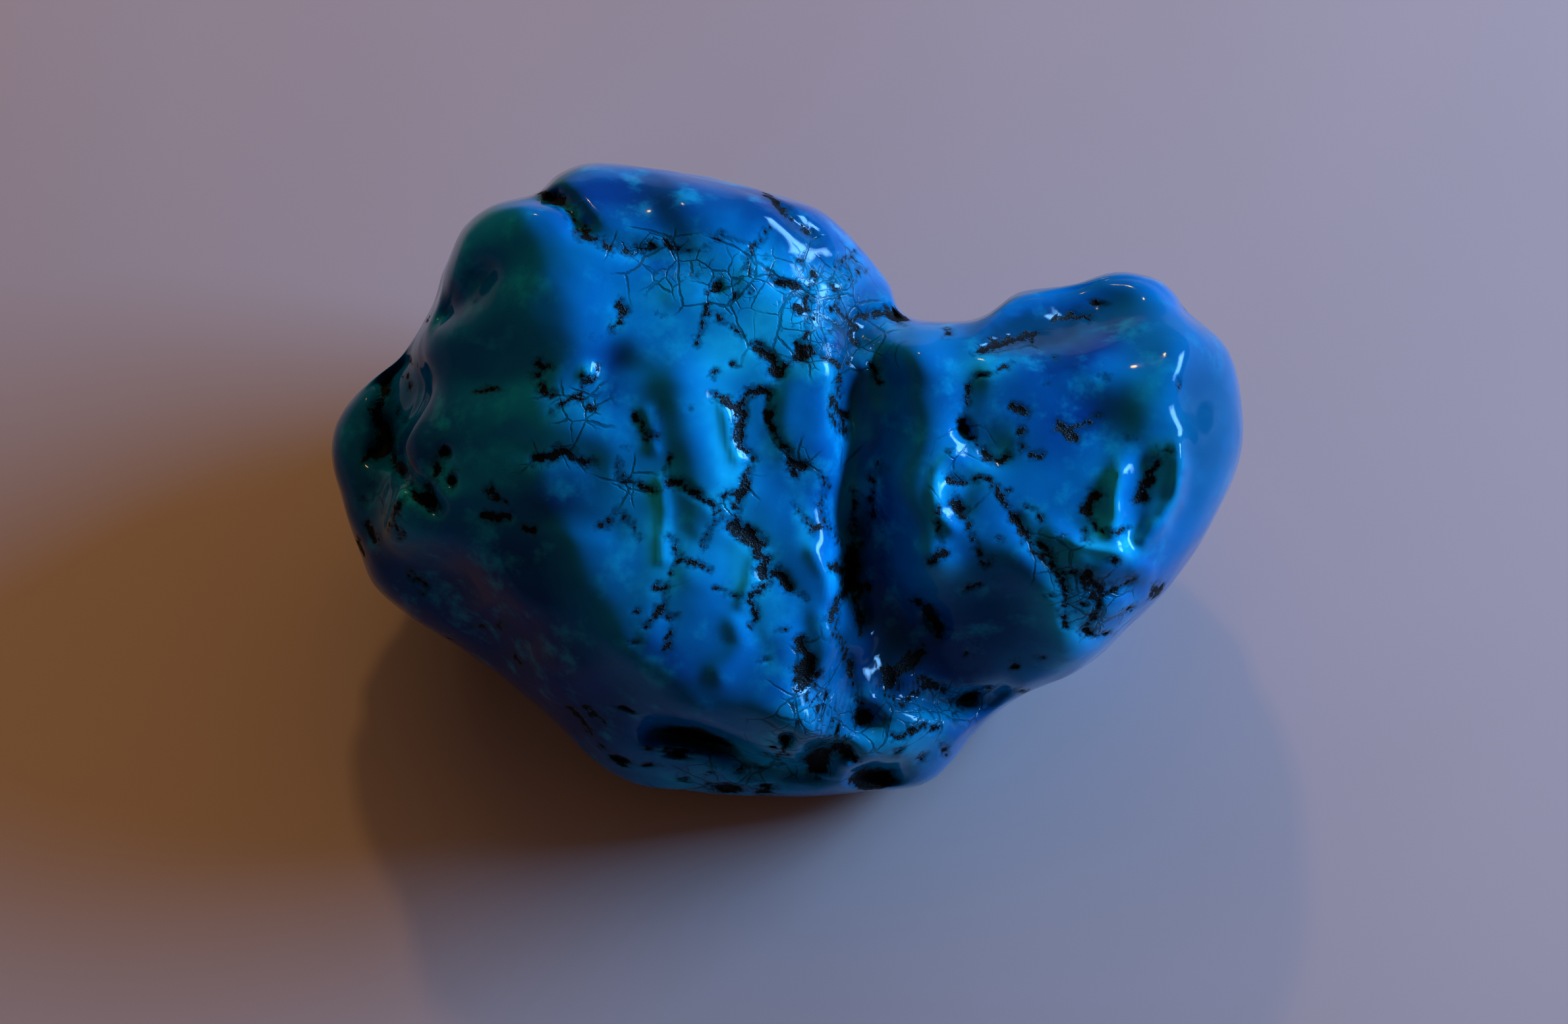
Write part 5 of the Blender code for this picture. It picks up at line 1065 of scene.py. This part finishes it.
def skin(cells):
    """Points of the finished skin in the stand frame, its quads, and the numbers that the material reads.

    The base skin is lifted straight out by the waves and by the hidden sides' swells and creases, then
    along the w axis by the show face's relief and marks. Last, it is cut off at the flat rest.
    """
    ways, quads = rays(cells)
    base = cast(ways)
    out = slope(base)
    toward = out[:, 2]
    swept = wandered(base, SWEEP)
    relief_at = drawn_in(swept)
    across = drawn_in(wandered(swept, FRAY))
    u, v = across[:, 0], across[:, 1]
    front_nearest, front_sink = front_marks(u, v)
    back_nearest, back_sink = hidden_marks(base)

    waves = sum(rise * (smooth_noise(base, size, seed) - 0.5) for size, rise, seed in WAVES)
    hidden = np.clip((HIDDEN_START - toward) / HIDDEN_SPAN, 0, 1) ** 2
    off_rest = np.clip((to_stand(base)[:, 2] - LOWEST) / REST_FADE, 0, 1)
    height = off_rest * (waves + hidden * back_swell(base) - ramp(-toward, *BACK_CREASED) * back_sink)
    front_height = relief(relief_at[:, 0], relief_at[:, 1]) - front_sink
    lifted = base + out * height[:, None]
    lifted[:, 2] += ramp(toward, *FACING) * front_height / np.maximum(toward, FACING[1])
    stand = to_stand(lifted)
    stand[:, 2] = np.maximum(stand[:, 2], LOWEST)

    seen = ramp(toward, *SEEN)
    back_marked = ramp(-toward, *BACK_MARKED)
    front_nearest += OUT_OF_REACH * (1 - seen)
    back_nearest += OUT_OF_REACH * (1 - back_marked)
    tints = {"matrix": np.clip(np.minimum(front_nearest, back_nearest), LEAST_TINT, MOST_TINT)}
    # the pale, teal and deep tints carry painted highlights and painted shade on the show face
    for name, (ovals, size, seed, low, high) in COLOUR_ZONES.items():
        patches = ramp(smooth_noise(base, size, seed), low, high)
        tints[name] = seen * zones(u, v, ovals) + (1 - seen) * patches
    return stand, quads, tints


def linear(code):
    """An sRGB hex colour as linear red, green, blue and full opacity."""
    parts = np.array([int(code[k : k + 2], 16) for k in (1, 3, 5)]) / 255
    parts = np.where(parts <= 0.04045, parts / 12.92, ((parts + 0.055) / 1.055) ** 2.4)
    return (*parts.tolist(), 1.0)


def feed(tree, node, sockets):
    """Gives each socket its number or colour, the output that feeds it, or a node, for its first output.

    A Map Range's sockets 1 and 2 are the ends that it reads, and 3 and 4 are those that it gives, 0 and 1
    where unsaid.
    """
    for socket, source in sockets.items():
        if isinstance(source, bpy.types.Node):
            source = source.outputs[0]
        if isinstance(source, bpy.types.NodeSocket):
            tree.links.new(source, node.inputs[socket])
        else:
            node.inputs[socket].default_value = source


def add(tree, kind, sockets, **settings):
    """Adds a shader node with its settings, and feeds its sockets."""
    made = tree.nodes.new("ShaderNode" + kind)
    for name, value in settings.items():
        setattr(made, name, value)
    feed(tree, made, sockets)
    return made


def new_material(name):
    """A material with nodes, its tree and its surface shader."""
    material = bpy.data.materials.new(name)
    material.use_nodes = True
    return material, material.node_tree, material.node_tree.nodes["Principled BSDF"]


def matrix_strengths(tree, mm, mottle, read):
    """Strengths of the dark matrix, of the stain round it and of the pale rim beyond, each from 0 to 1.

    All three fall with the distance in mm to the nearest mark's edge. It is the lesser of the distances
    to the skin's own marks and to a spray of small pits, and it is frayed by the sum
    RAGGED_FRAY * ragged noise + MOTTLE_FRAY * mottle - FRAY_MIDDLE. Where the net is strong, some grains
    hold a pit. Its distance is that to the grain's middle, plus SPECK_SHORT, less a reach of up to
    SPECK_REACH, so its radius is up to 0.4 mm.
    """
    ragged = {"Vector": mm, "Scale": 1 / RAGGED_GRAIN, "Detail": 4.0, "Roughness": 0.65}
    ragged = add(tree, "TexNoise", ragged)
    speck = add(tree, "TexVoronoi", {"Vector": mm, "Scale": 1 / SPECK_GRAIN}, feature="F1")
    chance = add(tree, "Math", {0: speck.outputs["Color"], 1: read["net"]}, operation="MULTIPLY")
    reach = {"Value": chance, 1: SPECK_OPENING[0], 2: SPECK_OPENING[1], 4: SPECK_REACH}
    reach = add(tree, "MapRange", reach)
    apart = {0: speck.outputs["Distance"], 1: SPECK_GRAIN, 2: SPECK_SHORT}
    apart = add(tree, "Math", apart, operation="MULTIPLY_ADD")
    from_rim = add(tree, "Math", {0: apart, 1: reach}, operation="SUBTRACT")
    to_mark = add(tree, "Math", {0: read["matrix"], 1: from_rim}, operation="MINIMUM")
    shift = add(tree, "Math", {0: ragged, 1: RAGGED_FRAY, 2: -FRAY_MIDDLE}, operation="MULTIPLY_ADD")
    shift = add(tree, "Math", {0: mottle, 1: MOTTLE_FRAY, 2: shift}, operation="MULTIPLY_ADD")
    edge = add(tree, "Math", {0: to_mark, 1: shift}, operation="ADD")
    ends = (MATRIX_EDGE, STAIN_EDGE, RIM_EDGE)
    return [add(tree, "MapRange", {"Value": edge, 1: none, 2: full}, **SMOOTH) for none, full in ends]


def hair_net(tree, mm, bend, coverage):
    """Strength of a net of hair cracks, from 0 to 1: lines along the borders of grains of three sizes.

    Noise bends them. The coarsest open from a low coverage on, and the finest only from a high one. Real
    hair cracks are about 0.02 mm wide. These are drawn 0.1 to 0.2 mm wide, fading outward, to show.
    """
    bend = add(tree, "VectorMath", {0: bend, "Scale": HAIR_BEND}, operation="SCALE")
    bent = add(tree, "VectorMath", {0: mm, 1: bend}, operation="ADD")
    net = 0.0
    for grain, half_width, low, high in HAIRS:
        off_border = {"Vector": bent, "Scale": 1 / grain}
        off_border = add(tree, "TexVoronoi", off_border, feature="DISTANCE_TO_EDGE")
        ends = {"Value": off_border, 1: half_width / grain, 2: HAIR_CORE * half_width / grain}
        hair = add(tree, "MapRange", ends, **SMOOTH)
        opened = add(tree, "MapRange", {"Value": coverage, 1: low, 2: high}, **SMOOTH)
        shown = add(tree, "Math", {0: hair, 1: opened}, operation="MULTIPLY")
        net = add(tree, "Math", {0: net, 1: shown}, operation="MAXIMUM")
    return net


def tumbled_turquoise():
    """Turquoise, tumbled smooth and brought to a high polish.

    The eye gets a saturated blue that drifts between sky blue and deep blue over a few millimetres, turns
    teal along the cracks and pales beside some of them. On the show face the deep and teal layers also
    hold painted shade, and the pale layer painted highlights along lit rims and slopes. The cracks hold a
    dull, near-black matrix with fine crystals, and the blue between them shines like wet glass. Turquoise
    has a refractive index of 1.61. The one here is lower, and the gloss is tinted cyan, so that the blue
    stays deep.
    """
    material, tree, surface = new_material("tumbled_turquoise")
    read = {name: add(tree, "Attribute", {}, attribute_name=name).outputs["Fac"] for name in TINTS}
    place = add(tree, "TexCoord", {}).outputs["Object"]
    mm = add(tree, "VectorMath", {0: place, "Scale": 1000.0}, operation="SCALE")
    broad = add(tree, "TexNoise", {"Vector": mm, "Scale": 1 / DRIFT_GRAIN, "Detail": 2.0})
    patch = add(tree, "TexNoise", {"Vector": mm, "Scale": 1 / PATCH_GRAIN, "Detail": 3.0})
    mottle = {"Vector": mm, "Scale": 1 / MOTTLE_GRAIN, "Detail": 5.0, "Roughness": 0.6}
    mottle = add(tree, "TexNoise", mottle)
    crystal = add(tree, "TexVoronoi", {"Vector": mm, "Scale": 1 / CRYSTAL_GRAIN}, feature="F1")
    matrix, soaked, beside = matrix_strengths(tree, mm, mottle, read)
    coverage = add(tree, "Math", {0: read["net"], 1: patch}, operation="MULTIPLY")
    net = hair_net(tree, mm, mottle.outputs["Color"], coverage)

    # colour, from the broadest drift to the finest mark
    drift = add(tree, "MapRange", {"Value": broad, 1: 0.35, 2: 0.65}, **SMOOTH)
    fleck = add(tree, "MapRange", {"Value": mottle, 1: 0.50, 2: 0.75, 4: FLECK_STRENGTH}, **SMOOTH)
    pale = {0: read["pale"], 1: PALE_STRENGTH, 2: fleck}
    pale = add(tree, "Math", pale, operation="MULTIPLY_ADD", use_clamp=True)
    rim = add(tree, "Math", {0: beside, 1: read["net"]}, operation="MULTIPLY")
    rim = add(tree, "Math", {0: rim, 1: RIM_STRENGTH}, operation="MULTIPLY")
    stain = add(tree, "Math", {0: soaked, 1: STAIN_STRENGTH}, operation="MULTIPLY")
    hair = add(tree, "Math", {0: net, 1: HAIR_STRENGTH}, operation="MULTIPLY")
    layers = [
        (drift, SKY_BLUE),
        # deep blue: the stone's deeper tone, and painted shade on the show face
        (read["deep"], DEEP_BLUE_AND_SHADE),
        # pale cyan: paler turquoise, and painted highlights on the show face
        (pale, PALE_CYAN_AND_HIGHLIGHT),
        (rim, PALE_CYAN_AND_HIGHLIGHT),
        # teal: stains, and painted shade on the show face
        (read["teal"], TEAL_STAIN_AND_SHADE),
        (stain, TEAL_STAIN_AND_SHADE),
        (hair, DARK_TEAL),
        (matrix, MATRIX_BLACK),
    ]
    colour = linear(MID_BLUE)
    for strength, code in layers:
        colour = add(tree, "Mix", {0: strength, 6: colour, 7: linear(code)}, data_type="RGBA").outputs[2]

    # polish: glossy blue, slightly uneven; the matrix stays dull and sparkles where its crystals lie flat
    glossy, dullest = BLUE_ROUGHNESS
    polish = add(tree, "MapRange", {"Value": mottle, 1: 0.3, 2: 0.7, 3: glossy, 4: dullest})
    glossy, dullest = MATRIX_ROUGHNESS
    dull = {"Value": crystal.outputs["Color"], 1: 0.2, 2: 0.8, 3: glossy, 4: dullest}
    dull = add(tree, "MapRange", dull)
    roughness = add(tree, "Mix", {0: matrix, 2: polish, 3: dull}, data_type="FLOAT")

    # fine height in mm, which the bump takes in metres
    grooves = add(tree, "Math", {0: net, 1: -HAIR_DEPTH}, operation="MULTIPLY")
    crystals = add(tree, "Math", {0: crystal.outputs["Distance"], 1: matrix}, operation="MULTIPLY")
    fine = add(tree, "Math", {0: crystals, 1: CRYSTAL_HEIGHT, 2: grooves}, operation="MULTIPLY_ADD")
    height = add(tree, "Math", {0: patch, 1: RIPPLE_HEIGHT, 2: fine}, operation="MULTIPLY_ADD")
    bump = add(tree, "Bump", {"Height": height, "Strength": 1.0, "Distance": 0.001})
    feed(tree, surface, {
        "Base Color": colour,
        "Roughness": roughness,
        "IOR": STONE_IOR,
        "Specular Tint": linear(GLOSS_CYAN),
        "Normal": bump,
    })
    return material


def matt_paper():
    """Heavy uncoated paper, pressed matt and laid loose.

    The eye gets an even, pale mauve-grey with a soft mottle and faint waves, and no gloss.
    """
    material, tree, surface = new_material("matt_paper")
    place = add(tree, "TexCoord", {}).outputs["Object"]
    mottle = add(tree, "TexNoise", {"Vector": place, "Scale": 1 / PAPER_MOTTLE, "Detail": 4.0})
    waves = add(tree, "TexNoise", {"Vector": place, "Scale": 1 / PAPER_WAVES, "Detail": 1.0})
    greys = {0: mottle, 6: linear(PAPER_GREY), 7: linear(PAPER_PALE)}
    colour = add(tree, "Mix", greys, data_type="RGBA").outputs[2]
    bump = add(tree, "Bump", {"Height": waves, "Strength": 0.25, "Distance": 0.006})
    feed(tree, surface, {"Base Color": colour, "Roughness": PAPER_ROUGHNESS, "Normal": bump})
    return material


def new_mesh(name, points, faces, material):
    """A mesh object at the origin, its place in its points, added to the scene."""
    mesh = bpy.data.meshes.new(name)
    mesh.from_pydata(points.tolist(), [], faces.tolist())
    mesh.materials.append(material)
    piece = bpy.data.objects.new(name, mesh)
    bpy.context.scene.collection.objects.link(piece)
    return piece


def nugget_skin():
    """The polished stone: one closed skin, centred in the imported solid's box and standing at its foot.

    It returns how far the stand frame was moved for that, in metres.
    """
    stand, quads, tints = skin(CELLS)
    low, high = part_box("turquoise_nugget")
    rest = Vector((low.x + high.x, low.y + high.y, 2 * low.z)) / 2
    own_low, own_high = stand.min(axis=0), stand.max(axis=0)
    shift = np.array(rest) * 1000 - np.array([*(own_low + own_high)[:2] / 2, own_low[2]])
    piece = new_mesh("polished_nugget", (stand + shift) / 1000, quads, tumbled_turquoise())
    piece.data.shade_smooth()
    for name, values in tints.items():
        layer = piece.data.attributes.new(name, "FLOAT", "POINT")
        layer.data.foreach_set("value", values)
    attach(piece, "root")
    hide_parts("turquoise_nugget")
    return Vector(shift / 1000)


def floor():
    """Flat square sheet under the stone."""
    half = FLOOR_SIDE / 2
    corners = np.array([(-half, -half, 0.0), (half, -half, 0.0), (half, half, 0.0), (-half, half, 0.0)])
    new_mesh("paper_floor", corners, np.array([[0, 1, 2, 3]]), matt_paper())


def soft_light(name, way, distance, width, height, power, colour, lights, mirrored):
    """Rectangular soft light, the given way and distance from the stand, that faces the stone."""
    light = bpy.data.lights.new(name, "AREA")
    light.shape = "RECTANGLE"
    light.size = width
    light.size_y = height
    light.energy = power
    light.color = linear(colour)[:3]
    lamp = bpy.data.objects.new(name, light)
    lamp.visible_diffuse = lights
    lamp.visible_glossy = mirrored
    bpy.context.scene.collection.objects.link(lamp)
    toward = Vector(way).normalized()
    lamp.location = toward * distance
    lamp.rotation_euler = (-toward).to_track_quat("-Z", "Y").to_euler()


def room():
    """Dim, warm surroundings, which the polish mirrors."""
    world = bpy.data.worlds.new("dim_room")
    world.use_nodes = True
    glow = world.node_tree.nodes["Background"]
    glow.inputs["Color"].default_value = linear(ROOM_GLOW)
    glow.inputs["Strength"].default_value = ROOM_STRENGTH
    bpy.context.scene.world = world
    bpy.context.scene.view_settings.view_transform = "Standard"


def camera(shift):
    """Camera at the tip of the cone, moved as the stone was, that looks straight at the show face."""
    data = bpy.data.cameras.new("camera")
    data.sensor_width = SENSOR_WIDTH
    data.lens = data.sensor_width * CONE_TIP / VIEW_WIDTH
    data.clip_start = CLIP_START
    eye = bpy.data.objects.new("camera", data)
    back = Vector((0.0, -LEAN, RISE))
    eye.location = shift + back * CONE_TIP / 1000
    eye.rotation_euler = (-back).to_track_quat("-Z", "Y").to_euler()
    bpy.context.scene.collection.objects.link(eye)
    bpy.context.scene.camera = eye


def main():
    """Makes the stone, its floor, the room, the lights and the camera."""
    shift = nugget_skin()
    floor()
    room()
    for light in LIGHTS:
        soft_light(*light)
    camera(shift)


main()
